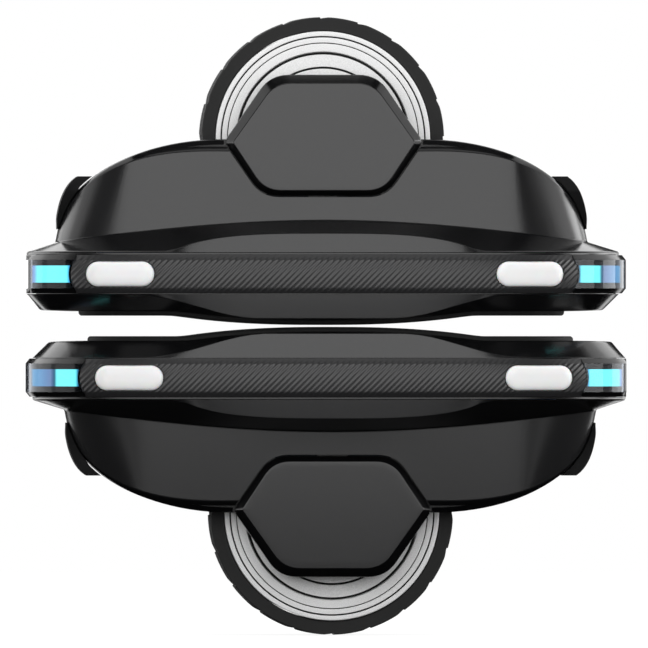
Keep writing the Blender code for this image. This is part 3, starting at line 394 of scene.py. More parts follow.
def smooth(start, end, value):
    """Rises smoothly from 0 at start to 1 at end."""
    share = min(max((value - start) / (end - start), 0.0), 1.0)
    return share * share * (3.0 - 2.0 * share)


def oval(half_length, half_width, fullness, steps=OUTLINE_STEPS):
    """A plan outline, counterclockwise from the nose, fuller than an ellipse where fullness is over 2."""
    quarter = []
    for step in range(steps // 4 + 1):
        turn = math.pi / 2 * (1.0 - (1.0 - 4 * step / steps) ** OUTLINE_BUNCHING)
        along_x, along_y = round(math.cos(turn), 9), round(math.sin(turn), 9)
        quarter.append((along_x ** (2.0 / fullness) * half_length, along_y ** (2.0 / fullness) * half_width))
    half = quarter + [(-x, y) for x, y in reversed(quarter[:-1])]
    return half + [(x, -y) for x, y in reversed(half[1:-1])]


def band_outline(inset=0.0, behind=0.0):
    """The band's plan outline, drawn in, with the flat of its +X nose set back."""
    plan = oval(BAND_TIP - inset, BAND_SIDE - inset, BAND_FULLNESS)
    return [(min(x, NOSE_FLAT - behind), y) for x, y in plan]


def shell_outline(inset=0.0):
    """The shells' plan outline at the band."""
    return band_outline(BAND_PROUD + inset, inset)


def housing_outline(inset=0.0):
    """The housing's plan outline at its waist."""
    return oval(HOUSING_HALF - inset, SIDE_HALF - inset, HOUSING_FULLNESS)


def underside(x, inset=0.0):
    """Height of the housing's underside: flat in the middle, then a quarter of an ellipse to the nose."""
    reach = max(abs(x) - FLAT_HALF, 0.0) / (HOUSING_HALF - inset - FLAT_HALF)
    return NOSE_TOP - (NOSE_TOP - HOUSING_FLOOR - inset) * math.sqrt(max(1.0 - reach * reach, 0.0))


def wall_top(x):
    """Height of the edge between the housing's wall and the facet under the band."""
    share = min(abs(x) / HOUSING_HALF, 1.0)
    return WAIST_TOP + (NOSE_TOP - WAIST_TOP) * share * share * (1.0 + WAIST_CURVE * (1.0 - share))


def raked(x, inset=0.0):
    """Where the wall that stands at x on the waist meets the underside: the ends rake in towards it."""
    rake = NOSE_RAKE * smooth(RAKE_START, RAKE_END, abs(x))
    return x * (1.0 - rake * max(RAKE_TOP - underside(x, inset), 0.0) / HOUSING_HALF)


def chamfer_share(x):
    """How much of its full width the chamfer round the underside has at x: it narrows at the nose."""
    return 1.0 - BEVEL_LOSS * smooth(BEVEL_WIDE, BEVEL_NARROW, abs(x) / HOUSING_HALF)


def side_panel(x):
    """How much of its full height the facet under the band has at x."""
    return (1.0 - min(abs(x) / SIDE_PANEL_HALF, 1.0) ** SIDE_PANEL_CURVE) ** SIDE_PANEL_EASE


def upper_panel(x):
    """How much of its full height the facet over the band has at x."""
    return 1.0 - smooth(UPPER_PANEL_FULL, UPPER_PANEL_END, abs(x))


def deck_height(x):
    """Height of the deck round the foot mat, with its crown at mid-length."""
    share = min(abs(x) / CROWN_HALF, 1.0)
    dip = NOSE_DIP * smooth(MAT_HALF_LENGTH, BAND_TIP, abs(x))
    return DECK_FLAT - dip + DECK_CROWN * (1.0 - share ** CROWN_CURVE)


def level(outline, height):
    """A ring of points from a plan outline and one height, or a height worked out from x."""
    return [Vector((x, y, height(x) if callable(height) else height)) for x, y in outline]


def band_side(x, inset=0.0):
    """Half width of the band at x."""
    share = min(abs(x) / (BAND_TIP - inset), 1.0)
    return (BAND_SIDE - inset) * (1.0 - share ** BAND_FULLNESS) ** (1.0 / BAND_FULLNESS)


def arc(centre, radius, first, last, steps):
    """Points of an arc, angles in degrees."""
    angles = [math.radians(first + (last - first) * step / steps) for step in range(steps + 1)]
    return [(centre[0] + radius * math.cos(angle), centre[1] + radius * math.sin(angle)) for angle in angles]


def rounded(corners, radii, steps=8):
    """Rounds every corner of a closed outline with a small curve of its own radius."""
    points = []
    befores, afters = corners[-1:] + corners[:-1], corners[1:] + corners[:1]
    for before, corner, after, radius in zip(befores, corners, afters, radii):
        here = Vector(corner)
        start = here + (Vector(before) - here).normalized() * radius
        end = here + (Vector(after) - here).normalized() * radius
        for step in range(steps + 1):
            share = step / steps
            points.append(start * (1 - share) ** 2 + here * 2 * share * (1 - share) + end * share ** 2)
    return points


def eased(rings, widths, finishes):
    """Rounds the corner of each ring between the first and the last by its width, three rings for one."""
    result, looks = [rings[0]], [finishes[0]]
    for index, width in enumerate(widths, 1):
        before, corner, after = rings[index - 1], rings[index], rings[index + 1]
        if width:
            for share in (0.0, 0.5, 1.0):
                ring = []
                for back, here, ahead in zip(before, corner, after):
                    near, far = back - here, ahead - here
                    start = here + near * (min(width, near.length * 0.45) / max(near.length, 1e-6))
                    end = here + far * (min(width, far.length * 0.45) / max(far.length, 1e-6))
                    ring.append(start * (1 - share) ** 2 + here * 2 * share * (1 - share) + end * share ** 2)
                result.append(ring)
            looks += [finishes[index - 1], finishes[index], finishes[index]]
        else:
            result.append(corner)
            looks.append(finishes[index])
    return result + [rings[-1]], looks


def start_ring(bm, points):
    """A closed loop of edges through the points, which remember their order."""
    order = bm.verts.layers.int.get("order") or bm.verts.layers.int.new("order")
    verts = bmesh.ops.create_circle(bm, segments=len(points), radius=1.0)["verts"]
    for index, (vert, point) in enumerate(zip(verts, points)):
        vert.co = point
        vert[order] = index
    return list(dict.fromkeys(edge for vert in verts for edge in vert.link_edges))


def next_ring(bm, edges, points, finish=SATIN):
    """Extrudes a loop of edges to the next ring of points and returns the new loop."""
    order = bm.verts.layers.int["order"]
    made = bmesh.ops.extrude_edge_only(bm, edges=edges)["geom"]
    for item in made:
        if isinstance(item, bmesh.types.BMVert):
            item.co = points[item[order]]
        elif isinstance(item, bmesh.types.BMFace):
            item.material_index = finish
    return [item for item in made if isinstance(item, bmesh.types.BMEdge) and item.is_boundary]


def close_ring(bm, edges, finish=SATIN, across=True):
    """Fills a loop with a face, in strips across the outline's length where the face isn't flat."""
    order = bm.verts.layers.int["order"]
    face = bmesh.ops.contextual_create(bm, geom=edges)["faces"][0]
    face.material_index = finish
    if across:
        ring = sorted(face.verts, key=lambda vert: vert[order])
        for here in range(1, len(ring) // 2):
            bmesh.ops.connect_verts(bm, verts=[ring[here], ring[-here]])


def loft(rings, finishes=None, across=True, ends=(SATIN, SATIN), closed=False):
    """A solid through rings of equally many points, closed at both ends, or round into itself."""
    bm = bmesh.new()
    finishes = finishes or [SATIN] * len(rings)
    first = edges = start_ring(bm, rings[0])
    if not closed:
        close_ring(bm, first, ends[0], across)
    for ring, finish in zip(rings[1:], finishes):
        edges = next_ring(bm, edges, ring, finish)
    if closed:
        for face in bmesh.ops.bridge_loops(bm, edges=first + edges)["faces"]:
            face.material_index = finishes[-1]
    else:
        close_ring(bm, edges, ends[1], across)
    return bm


def turned(profile, steps=WHEEL_STEPS):
    """A solid turned about Y from a closed profile of (radius, y) corners."""
    bm = bmesh.new()
    edges = start_ring(bm, [(radius, y, 0.0) for radius, y in profile])
    bmesh.ops.spin(bm, geom=bm.verts[:] + edges, cent=(0, 0, 0), axis=(0, 1, 0), angle=2 * math.pi,
                   steps=steps, use_merge=True)
    bmesh.ops.remove_doubles(bm, verts=bm.verts[:], dist=0.001)
    return bm


def post(radius, start, end, centre=(0.0, 0.0), axis="Z", steps=ROUND_STEPS, top=None, into=None):
    """A round post from start to end along an axis, added to a mesh in the making or to a new one."""
    bm = into or bmesh.new()
    middle = (start + end) / 2
    place = (centre[0], middle, centre[1]) if axis == "Y" else (centre[0], centre[1], middle)
    turn = Matrix.Rotation(-math.pi / 2, 4, "X") if axis == "Y" else Matrix.Identity(4)
    bmesh.ops.create_cone(bm, cap_ends=True, segments=steps, radius1=radius,
                          radius2=radius if top is None else top, depth=end - start,
                          matrix=Matrix.Translation(place) @ turn)
    return bm


def block(low, high, into=None):
    """A box between two corners, added to a mesh in the making or to a new one."""
    bm = into or bmesh.new()
    size, middle = Vector(high) - Vector(low), (Vector(high) + Vector(low)) / 2
    bmesh.ops.create_cube(bm, size=1.0, matrix=Matrix.Translation(middle) @ Matrix.Diagonal(size).to_4x4())
    return bm


def slab_of(outline, start, end):
    """A flat outline of (x, z) corners with a thickness along Y."""
    bm = bmesh.new()
    edges = start_ring(bm, [(x, start, z) for x, z in outline])
    close_ring(bm, edges, across=False)
    close_ring(bm, next_ring(bm, edges, [(x, end, z) for x, z in outline]), across=False)
    return bm


def new_object(name, data):
    """Puts a mesh, a lamp or a camera in the scene."""
    made = bpy.data.objects.new(name, data)
    bpy.context.scene.collection.objects.link(made)
    return made


def work_object(name, bm, finishes):
    """An object of the shoe's own frame that is still being shaped."""
    bmesh.ops.recalc_face_normals(bm, faces=bm.faces[:])
    mesh = bpy.data.meshes.new(name)
    bm.to_mesh(mesh)
    bm.free()
    for finish in finishes:
        mesh.materials.append(finish)
    return new_object(name, mesh)


def reopened(obj):
    """Takes a work object's shape back into a bmesh and removes the object."""
    bm = bmesh.new()
    bm.from_mesh(obj.data)
    bpy.data.objects.remove(obj)
    return bm


def carve(obj, *steps):
    """Cuts, joins or clips an object with others, in order, and settles the result in its mesh."""
    tools = []
    for bm, operation in steps:
        tool = work_object("tool", bm, obj.data.materials)
        modifier = obj.modifiers.new(operation, "BOOLEAN")
        modifier.operation = operation
        modifier.solver = "EXACT"
        modifier.object = tool
        tools.append(tool)
    bpy.context.view_layer.update()
    mesh = bpy.data.meshes.new_from_object(obj.evaluated_get(bpy.context.evaluated_depsgraph_get()))
    bm = bmesh.new()
    bm.from_mesh(mesh)
    bmesh.ops.remove_doubles(bm, verts=bm.verts[:], dist=0.005)
    bmesh.ops.dissolve_degenerate(bm, edges=bm.edges[:], dist=0.005)
    bmesh.ops.recalc_face_normals(bm, faces=bm.faces[:])
    bm.to_mesh(mesh)
    bm.free()
    obj.modifiers.clear()
    obj.data = mesh
    for tool in tools:
        bpy.data.objects.remove(tool)
    return obj


def put_on(obj, name, node=None, body_of=None, sharp=32.0):
    """Puts a finished shape on both shoes in place of a CAD node, or beside the node it belongs to."""
    for shoe, place in PLACES.items():
        mesh = obj.data.copy()
        spot = mesh.attributes.new("shoe_place", "FLOAT_VECTOR", "POINT")
        for vert, value in zip(mesh.vertices, spot.data):
            value.vector = vert.co * MM
        mesh.transform(place)
        mesh.shade_smooth()
        mesh.set_sharp_from_angle(angle=math.radians(sharp))
        piece = new_object(f"{shoe}_{name}_piece", mesh)
        weights = piece.modifiers.new("even shading", "WEIGHTED_NORMAL")
        weights.keep_sharp = True
        owner = f"{shoe}_{node or body_of}"
        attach(piece, BODY_OF[owner])
        if node:
            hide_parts(owner)
    bpy.data.objects.remove(obj)


# Materials

def add_node(tree, kind, links=None, **settings):
    """Adds a node with its settings; each named or numbered input takes a value or another node's output."""
    made = tree.nodes.new(kind)
    for key, value in settings.items():
        setattr(made, key, value)
    for key, value in (links or {}).items():
        if isinstance(value, bpy.types.NodeSocket):
            tree.links.new(value, made.inputs[key])
        else:
            made.inputs[key].default_value = value
    return made


def new_material(name, **settings):
    """A material of a given name with its Principled shader's plain settings."""
    made = bpy.data.materials.new(name)
    made.use_nodes = True
    shader = made.node_tree.nodes["Principled BSDF"]
    for key, value in settings.items():
        shader.inputs[key.replace("_", " ")].default_value = value
    return made, made.node_tree, shader


def lead(tree, shader, shade, rough=None, bump=None):
    """Leads the finished patterns of a material into its shader."""
    tree.links.new(shade.outputs[2], shader.inputs["Base Color"])
    if rough is not None:
        tree.links.new(rough.outputs["Result"], shader.inputs["Roughness"])
    if bump is not None:
        tree.links.new(bump.outputs["Normal"], shader.inputs["Normal"])


def times(colour, factor):
    """A colour made lighter or darker by a factor."""
    return tuple(min(channel * factor, 1.0) for channel in colour[:3]) + (1.0,)


def moulded_abs(name, colour, roughness, level_of_gloss, grain, wear):
    """ABS moulded in a textured or polished tool: an even black with a very fine grain."""
    made, tree, shader = new_material(name, IOR=1.54, Specular_IOR_Level=level_of_gloss)
    spot = add_node(tree, "ShaderNodeTexCoord").outputs["Object"]
    grains = add_node(tree, "ShaderNodeTexNoise",
                      {"Vector": spot, "Scale": 1.0 / (grain * MM), "Detail": 3.0})
    # The colour drifts a little over 40 mm, as pigment does in a moulding.
    patches = add_node(tree, "ShaderNodeTexNoise", {"Vector": spot, "Scale": 1.0 / (40 * MM), "Detail": 2.0})
    shade = add_node(tree, "ShaderNodeMix", {"Factor": patches.outputs["Fac"], 6: times(colour, 1.0 - wear),
                                             7: times(colour, 1.0 + wear)}, data_type="RGBA")
    rough = add_node(tree, "ShaderNodeMapRange", {"Value": grains.outputs["Fac"], 3: roughness - 0.05,
                                                  4: roughness + 0.05})
    bump = add_node(tree, "ShaderNodeBump", {"Height": grains.outputs["Fac"], "Distance": 0.02 * MM,
                                             "Strength": 0.6})
    lead(tree, shader, shade, rough, bump)
    return made


def vulcanised_rubber(name, colour, roughness, grain):
    """Moulded rubber: matt, faintly mottled where bloom and dust sit in its grain."""
    made, tree, shader = new_material(name, IOR=1.52, Specular_IOR_Level=0.22, Sheen_Weight=0.03,
                                      Sheen_Roughness=0.4)
    spot = add_node(tree, "ShaderNodeTexCoord").outputs["Object"]
    grains = add_node(tree, "ShaderNodeTexNoise",
                      {"Vector": spot, "Scale": 1.0 / (grain * MM), "Detail": 4.0})
    # Bloom and dust lie in patches of about 14 mm.
    bloom = add_node(tree, "ShaderNodeTexNoise", {"Vector": spot, "Scale": 1.0 / (14 * MM), "Detail": 4.0})
    shade = add_node(tree, "ShaderNodeMix", {"Factor": bloom.outputs["Fac"], 6: times(colour, 0.86),
                                             7: times(colour, 1.16)}, data_type="RGBA")
    rough = add_node(tree, "ShaderNodeMapRange", {"Value": bloom.outputs["Fac"], 3: roughness - 0.07,
                                                  4: roughness + 0.07})
    bump = add_node(tree, "ShaderNodeBump", {"Height": grains.outputs["Fac"], "Distance": 0.05 * MM,
                                             "Strength": 0.7})
    lead(tree, shader, shade, rough, bump)
    return made


def powder_coat(name, colour):
    """Powder coat on cast aluminium: nearly white, with fine specks and a slight orange peel."""
    made, tree, shader = new_material(name, IOR=1.5, Specular_IOR_Level=0.3)
    spot = add_node(tree, "ShaderNodeTexCoord").outputs["Object"]
    # Real specks are about 0.15 mm; they are drawn at 0.5 mm, which is one pixel of the picture.
    specks = add_node(tree, "ShaderNodeTexNoise", {"Vector": spot, "Scale": 1.0 / (0.5 * MM), "Detail": 2.0})
    peel = add_node(tree, "ShaderNodeTexNoise", {"Vector": spot, "Scale": 1.0 / (1.6 * MM), "Detail": 1.0})
    spread = add_node(tree, "ShaderNodeMapRange", {"Value": specks.outputs["Fac"], 1: 0.35, 2: 0.65})
    shade = add_node(tree, "ShaderNodeMix", {"Factor": spread.outputs["Result"], 6: times(colour, 0.90),
                                             7: times(colour, 1.04)}, data_type="RGBA")
    rough = add_node(tree, "ShaderNodeMapRange", {"Value": specks.outputs["Fac"], 3: 0.48, 4: 0.62})
    bump = add_node(tree, "ShaderNodeBump", {"Height": peel.outputs["Fac"], "Distance": 0.03 * MM,
                                             "Strength": 0.5})
    lead(tree, shader, shade, rough, bump)
    return made


def white_polycarbonate(name, colour):
    """Opal white polycarbonate, moulded glossy: light goes a little way into it."""
    made, tree, shader = new_material(name, IOR=1.58, Specular_IOR_Level=0.4, Subsurface_Weight=0.15,
                                      Subsurface_Scale=1.5 * MM)
    spot = add_node(tree, "ShaderNodeTexCoord").outputs["Object"]
    haze = add_node(tree, "ShaderNodeTexNoise", {"Vector": spot, "Scale": 1.0 / (9 * MM), "Detail": 2.0})
    shade = add_node(tree, "ShaderNodeMix", {"Factor": haze.outputs["Fac"], 6: times(colour, 0.97),
                                             7: times(colour, 1.03)}, data_type="RGBA")
    rough = add_node(tree, "ShaderNodeMapRange", {"Value": haze.outputs["Fac"], 3: 0.28, 4: 0.36})
    lead(tree, shader, shade, rough)
    return made


def smoked_polycarbonate(name):
    """Clear polycarbonate dyed smoke grey and moulded in a polished tool: dark until a light is behind it."""
    made, tree, shader = new_material(name, IOR=1.1, Transmission_Weight=1.0, Coat_Weight=0.3,
                                      Coat_Roughness=0.04)
    spot = add_node(tree, "ShaderNodeTexCoord").outputs["Object"]
    haze = add_node(tree, "ShaderNodeTexNoise", {"Vector": spot, "Scale": 1.0 / (6 * MM), "Detail": 2.0})
    shade = add_node(tree, "ShaderNodeMix", {"Factor": haze.outputs["Fac"], 6: linear("#6c7076"),
                                             7: linear("#767a81")}, data_type="RGBA")
    rough = add_node(tree, "ShaderNodeMapRange", {"Value": haze.outputs["Fac"], 3: 0.02, 4: 0.05})
    lead(tree, shader, shade, rough)
    return made


def lit_strip(name, colour, edge):
    """Light guide with cyan diodes behind it: bright along the side, bluer and dimmer towards the tip."""
    made, tree, shader = new_material(name, IOR=1.5, Roughness=0.4)
    spot = add_node(tree, "ShaderNodeAttribute", attribute_name="shoe_place").outputs["Vector"]
    parts = add_node(tree, "ShaderNodeSeparateXYZ", {0: spot})
    ahead = add_node(tree, "ShaderNodeMath", {0: parts.outputs["X"], 1: 0.0}, operation="GREATER_THAN")
    reach = add_node(tree, "ShaderNodeMath", {0: parts.outputs["X"]}, operation="ABSOLUTE")
    # The stops are shares of the way from 120 to 150 mm along the shoe, where the band turns round its end.
    along = add_node(tree, "ShaderNodeMapRange", {"Value": reach.outputs[0], 1: 0.120, 2: 0.150})
    dark = (0.0, 0.004, 0.02, 1.0)
    tip = linear("#86a9db")
    front = ((0.140, dark), (0.165, edge), (0.200, colour), (0.660, colour), (0.715, times(tip, 0.9)),
             (1.0, times(tip, 0.6)))
    rear = ((0.140, dark), (0.170, times(edge, 0.5)), (0.205, colour), (0.500, colour),
            (0.540, times(edge, 0.25)), (0.600, times(tip, 0.55)), (0.86, times(edge, 0.8)), (0.92, dark))
    ramps = []
    for stops in (front, rear):
        ramp = add_node(tree, "ShaderNodeValToRGB", {"Fac": along.outputs["Result"]})
        for index, (place, value) in enumerate(stops):
            stop = ramp.color_ramp.elements[index] if index < 2 else ramp.color_ramp.elements.new(place)
            stop.position, stop.color = place, value
        ramps.append(ramp.outputs["Color"])
    both = add_node(tree, "ShaderNodeMix", {"Factor": ahead.outputs[0], 6: ramps[1], 7: ramps[0]},
                    data_type="RGBA")
    tree.links.new(both.outputs[2], shader.inputs["Emission Color"])
    shader.inputs["Emission Strength"].default_value = 6.0
    shader.inputs["Base Color"].default_value = linear("#101318")
    return made


def metal(name, colour, roughness, grain, streak):
    """A machined, anodised or plated metal with fine tool marks that run across it."""
    made, tree, shader = new_material(name, Metallic=1.0)
    spot = add_node(tree, "ShaderNodeTexCoord").outputs["Object"]
    stretched = add_node(tree, "ShaderNodeMapping", {"Vector": spot, "Scale": (1.0, streak, 1.0)})
    marks = add_node(tree, "ShaderNodeTexNoise", {"Vector": stretched.outputs[0], "Scale": 1.0 / (grain * MM),
                                                  "Detail": 3.0})
    shade = add_node(tree, "ShaderNodeMix", {"Factor": marks.outputs["Fac"], 6: times(colour, 0.85),
                                             7: times(colour, 1.15)}, data_type="RGBA")
    rough = add_node(tree, "ShaderNodeMapRange", {"Value": marks.outputs["Fac"], 3: roughness - 0.08,
                                                  4: roughness + 0.08})
    bump = add_node(tree, "ShaderNodeBump", {"Height": marks.outputs["Fac"], "Distance": 0.01 * MM,
                                             "Strength": 0.5})
    lead(tree, shader, shade, rough, bump)
    return made


def windings(name):
    """Enamelled copper wire wound on steel laminations: fine turns side by side across the teeth."""
    made, tree, shader = new_material(name, Metallic=1.0, Roughness=0.38)
    spot = add_node(tree, "ShaderNodeTexCoord").outputs["Object"]
    # Wire of 0.8 mm, so a turn every 0.8 mm along the axle.
    turns = add_node(tree, "ShaderNodeTexWave", {"Vector": spot, "Scale": WAVE_SCALE / (0.8 * MM)},
                     bands_direction="Y")
    shade = add_node(tree, "ShaderNodeMix", {"Factor": turns.outputs["Fac"], 6: linear("#6a3a1c"),
                                             7: linear("#c47a45")}, data_type="RGBA")
    bump = add_node(tree, "ShaderNodeBump", {"Height": turns.outputs["Fac"], "Distance": 0.3 * MM})
    lead(tree, shader, shade, bump=bump)
    return made


def shrink_sleeve(name):
    """Blue PVC heat-shrink sleeve over the cells: glossy, with soft ridges over each 18 mm cell."""
    made, tree, shader = new_material(name, IOR=1.53, Roughness=0.32)
    spot = add_node(tree, "ShaderNodeTexCoord").outputs["Object"]
    ridges = add_node(tree, "ShaderNodeTexWave", {"Vector": spot, "Scale": WAVE_SCALE / (18 * MM)},
                      bands_direction="Y")
    wrinkles = add_node(tree, "ShaderNodeTexNoise", {"Vector": spot, "Scale": 1.0 / (5 * MM), "Detail": 4.0})
    shade = add_node(tree, "ShaderNodeMix", {"Factor": wrinkles.outputs["Fac"], 6: linear("#16407a"),
                                             7: linear("#1f55a0")}, data_type="RGBA")
    ridged = add_node(tree, "ShaderNodeBump", {"Height": ridges.outputs["Fac"], "Distance": 1.0 * MM})
    bump = add_node(tree, "ShaderNodeBump", {"Height": wrinkles.outputs["Fac"], "Distance": 0.2 * MM,
                                             "Normal": ridged.outputs["Normal"]})
    lead(tree, shader, shade, bump=bump)
    return made


def solder_mask(name):
    """Green solder mask on glass-fibre board, with lighter copper tracks showing through."""
    made, tree, shader = new_material(name, IOR=1.55, Roughness=0.35)
    spot = add_node(tree, "ShaderNodeTexCoord").outputs["Object"]
    tracks = add_node(tree, "ShaderNodeTexBrick", {"Vector": spot, "Scale": 1.0 / (6 * MM),
                                                   "Color1": linear("#0f5a2c"), "Color2": linear("#0c4a25"),
                                                   "Mortar": linear("#2c8a4c"), "Mortar Size": 0.06})
    bump = add_node(tree, "ShaderNodeBump", {"Height": tracks.outputs["Fac"], "Distance": 0.05 * MM})
    tree.links.new(tracks.outputs["Color"], shader.inputs["Base Color"])
    tree.links.new(bump.outputs["Normal"], shader.inputs["Normal"])
    return made


def seen_or_mirrored(tree):
    """1 for what the camera sees straight, in a reflection or through glass, and 0 for other light."""
    rays = add_node(tree, "ShaderNodeLightPath").outputs
    seen = add_node(tree, "ShaderNodeMath", {0: rays["Is Camera Ray"], 1: rays["Is Glossy Ray"]},
                    operation="MAXIMUM")
    seen = add_node(tree, "ShaderNodeMath", {0: seen.outputs[0], 1: rays["Is Transmission Ray"]},
                    operation="MAXIMUM")
    return seen.outputs[0]


def black_flock(name):
    """Flocked card of the studio, which swallows light."""
    made, tree, shader = new_material(name, Roughness=1.0, Specular_IOR_Level=0.0)
    spot = add_node(tree, "ShaderNodeTexCoord").outputs["Object"]
    pile = add_node(tree, "ShaderNodeTexNoise", {"Vector": spot, "Scale": 1.0 / (2 * MM)})
    shade = add_node(tree, "ShaderNodeMix", {"Factor": pile.outputs["Fac"], 6: linear("#040404"),
                                             7: linear("#0a0a0a")}, data_type="RGBA")
    lead(tree, shader, shade)
    return made


def floor_paint():
    """Matt white studio floor: white to the camera and in reflections, and dim enough to hold a shadow."""
    made, tree, shader = new_material("floor_paint", Roughness=0.9, Specular_IOR_Level=0.0)
    shader.inputs["Base Color"].default_value = linear("#707070")
    glow = add_node(tree, "ShaderNodeMath", {0: seen_or_mirrored(tree), 1: FLOOR_GLOW}, operation="MULTIPLY")
    tree.links.new(glow.outputs[0], shader.inputs["Emission Strength"])
    shader.inputs["Emission Color"].default_value = (1.0, 1.0, 1.0, 1.0)
    return made


def look(key):
    """The material of a given finish, made when it is first asked for."""
    found = LOOKS.get(key)
    if found is None:
        colours = bpy.context.scene.hover_shoe_colours
        makers = {
            # Moulded ABS: satin panels, polished chamfers, and a greyer trim whose ribs catch the light
            "satin": lambda: moulded_abs("satin_moulded_abs", colours.satin, 0.25, 0.5, 0.5, 0.04),
            "polished": lambda: moulded_abs("polished_black_abs", colours.polished, 0.16, 0.5, 0.8, 0.03),
            "trim": lambda: moulded_abs("ribbed_grey_abs", colours.trim, 0.30, 0.5, 0.6, 0.05),
            # Rubber: a dull grey tyre, softer, blacker bumpers, buttons and mats, and dark rubber laid in the
            # hub's grooves as painted shade
            "tyre": lambda: vulcanised_rubber("tyre_rubber", colours.tyre, 0.82, 0.5),
            "rubber": lambda: vulcanised_rubber("soft_black_rubber", linear("#0d0d0e"), 0.75, 0.5),
            "mat": lambda: vulcanised_rubber("ribbed_mat_rubber", linear("#161616"), 0.75, 0.8),
            # Dark rubber that paints the shade on the deep faces of the hub's grooves
            "groove_shade": lambda: vulcanised_rubber("hub_groove_shade_rubber", linear("#1c1c1c"), 0.8, 0.4),
            "hub": lambda: powder_coat("light_grey_powder_coat", colours.hub),
            "pad": lambda: white_polycarbonate("white_polycarbonate", colours.pad),
            "lens": lambda: smoked_polycarbonate("smoked_polycarbonate"),
            "light": lambda: lit_strip("cyan_light_strip", colours.light, colours.light_edge),
            # Metal: dull dark alloy, bright zinc, and screws that are nearly black
            "alloy": lambda: metal("black_anodised_aluminium", linear("#2b2c2e"), 0.45, 0.5, 0.2),
            "steel": lambda: metal("zinc_plated_steel", linear("#b9bbbf"), 0.3, 0.4, 1.0),
            "screw": lambda: metal("blackened_steel", linear("#26272a"), 0.42, 0.3, 1.0),
            "copper": lambda: windings("enamelled_copper_windings"),
            "battery": lambda: shrink_sleeve("blue_shrink_sleeve"),
            "board": lambda: solder_mask("green_solder_mask"),
            "flock": lambda: black_flock("black_flock"),
        }
        found = LOOKS[key] = makers[key]()
    return found


def shell_finishes():
    """The shells' two finishes, in the order of SATIN and POLISHED."""
    return [look("satin"), look("polished")]


LOOKS = {}


# Wheel

def build_tyre(sizes):
    """Solid rubber tyre whose crowned tread rises in twenty saw-tooth steps."""
    step, ramp = sizes.tread_step / MM, sizes.tread_ramp / MM
    pitch = 360.0 / TREAD_STEPS
    slope = math.degrees(ramp / WHEEL_RADIUS)
    foot = slope + TREAD_RUN_OUT
    places = [(0.0, 0.0), (TREAD_RISE, 1.0), (slope * 0.5, 0.48), (slope, 0.06), (foot, 0.0)]
    places += [(foot + (pitch - slope - TREAD_RUN_OUT) * share, 0.0) for share in (0.2, 0.4, 0.6, 0.8)]
    shoulder = TYRE_SHOULDER
    tread = []
    for degrees in (0, 18, 36, 54, 72, 90):
        turn = math.radians(degrees)
        tread.append((WHEEL_RADIUS - TYRE_CROWN - shoulder / 2 * (1.0 - math.sin(turn)),
                      TYRE_SIDE - shoulder * (1.0 - math.cos(turn))))
    tread += [(WHEEL_RADIUS - TYRE_CROWN * share ** 2, (TYRE_SIDE - shoulder) * share)
              for share in (0.75, 0.5, 0.25)]
    half = [(TYRE_INNER, TYRE_SIDE - TYRE_EDGE), (TYRE_INNER + TYRE_EDGE, TYRE_SIDE),
            (WHEEL_RADIUS - shoulder / 2 - SHOULDER_FOOT, TYRE_SIDE), *tread]
    profile = half + [(radius, -y) for radius, y in reversed(half)]
    crown = WHEEL_RADIUS - TYRE_CROWN
    rings = []
    for tooth in range(TREAD_STEPS):
        for place, share in places:
            # Seen from the left side the tips point clockwise, so the angle falls as the place rises.
            angle = math.radians(TREAD_TIP + tooth * pitch + place)
            ring = []
            for radius, y in profile:
                deep = step * share * smooth(crown - shoulder / 2, crown, radius)
                ring.append(Vector(((radius - deep) * math.sin(angle), y, (radius - deep) * math.cos(angle))))
            rings.append(ring)
    return work_object("tyre", loft(rings, closed=True), [look("tyre")])


def groove(radius, width, depth, face):
    """Corners of a turned groove in a face, from its outer to its inner edge."""
    return [(radius + width / 2 + HUB_GROOVE_EASE, face), (radius + width / 2, face - HUB_GROOVE_LIP),
            (radius + width / 4, face - depth), (radius - width / 4, face - depth),
            (radius - width / 2, face - HUB_GROOVE_LIP), (radius - width / 2 - HUB_GROOVE_EASE, face)]


def paint_groove_shade(bm):
    """Gives the second finish, dark rubber as painted shade, to the deep faces of the grooves between the
    hub's rings.
    """
    inner, outer = BEARING_SEAT + BEARING_HOLDER + JOIN, RIM_RADIUS - JOIN
    for face in bm.faces:
        spot = face.calc_center_median()
        radius = math.hypot(spot.x, spot.z)
        floor = HUB_FACE - HUB_GROOVE_SHADE_DEPTH - (0.0 if radius > HUB_STEP_RADIUS + SEAT else HUB_STEP)
        if inner < radius < outer and HUB_BACK < abs(spot.y) < floor:
            face.material_index = POLISHED
    return bm


def build_hub(sizes):
    """The motor's painted shell on the left side, and its cover on the right, with turned grooves."""
    width = sizes.hub_groove / MM
    low = HUB_FACE - HUB_STEP
    outside = [(RIM_RADIUS - inward, HUB_FACE - deep) for inward, deep in RIM_CORNERS]
    for radius, share, depth in RIM_GROOVES:
        outside += groove(radius, width * share, depth, HUB_FACE)
    outside += [(HUB_STEP_RADIUS + out, HUB_FACE - deep) for out, deep in STEP_CORNERS]
    outside += [(HUB_STEP_RADIUS + out, low - deep) for out, deep in STEP_GROOVE]
    radius, share, depth = MIDDLE_GROOVE
    outside += groove(radius, width * share, depth, low)
    outside += [(BEARING_SEAT + BEARING_EDGE, low), (BEARING_SEAT, low - BEARING_EDGE)]
    boss = low - SEAT - BEARING_WIDTH
    inside = [(BEARING_SEAT, boss), (BEARING_SEAT + BEARING_HOLDER, boss)]
    # The second finish is dark rubber: painted shade on the grooves' deep faces
    finishes = [look("hub"), look("groove_shade")]
    shell = [(r, -y) for r, y in outside + inside]
    shell += [(MAGNET_RADIUS, -HUB_BACK), (MAGNET_RADIUS, HUB_BACK - SEAT), (RIM_RADIUS, HUB_BACK - SEAT)]
    cover = outside + inside + [(MAGNET_RADIUS - SEAT, HUB_BACK), (RIM_RADIUS, HUB_BACK)]
    return [work_object(name, paint_groove_shade(turned(profile)), finishes)
            for name, profile in (("hub_shell", shell), ("hub_side_cover", cover))]


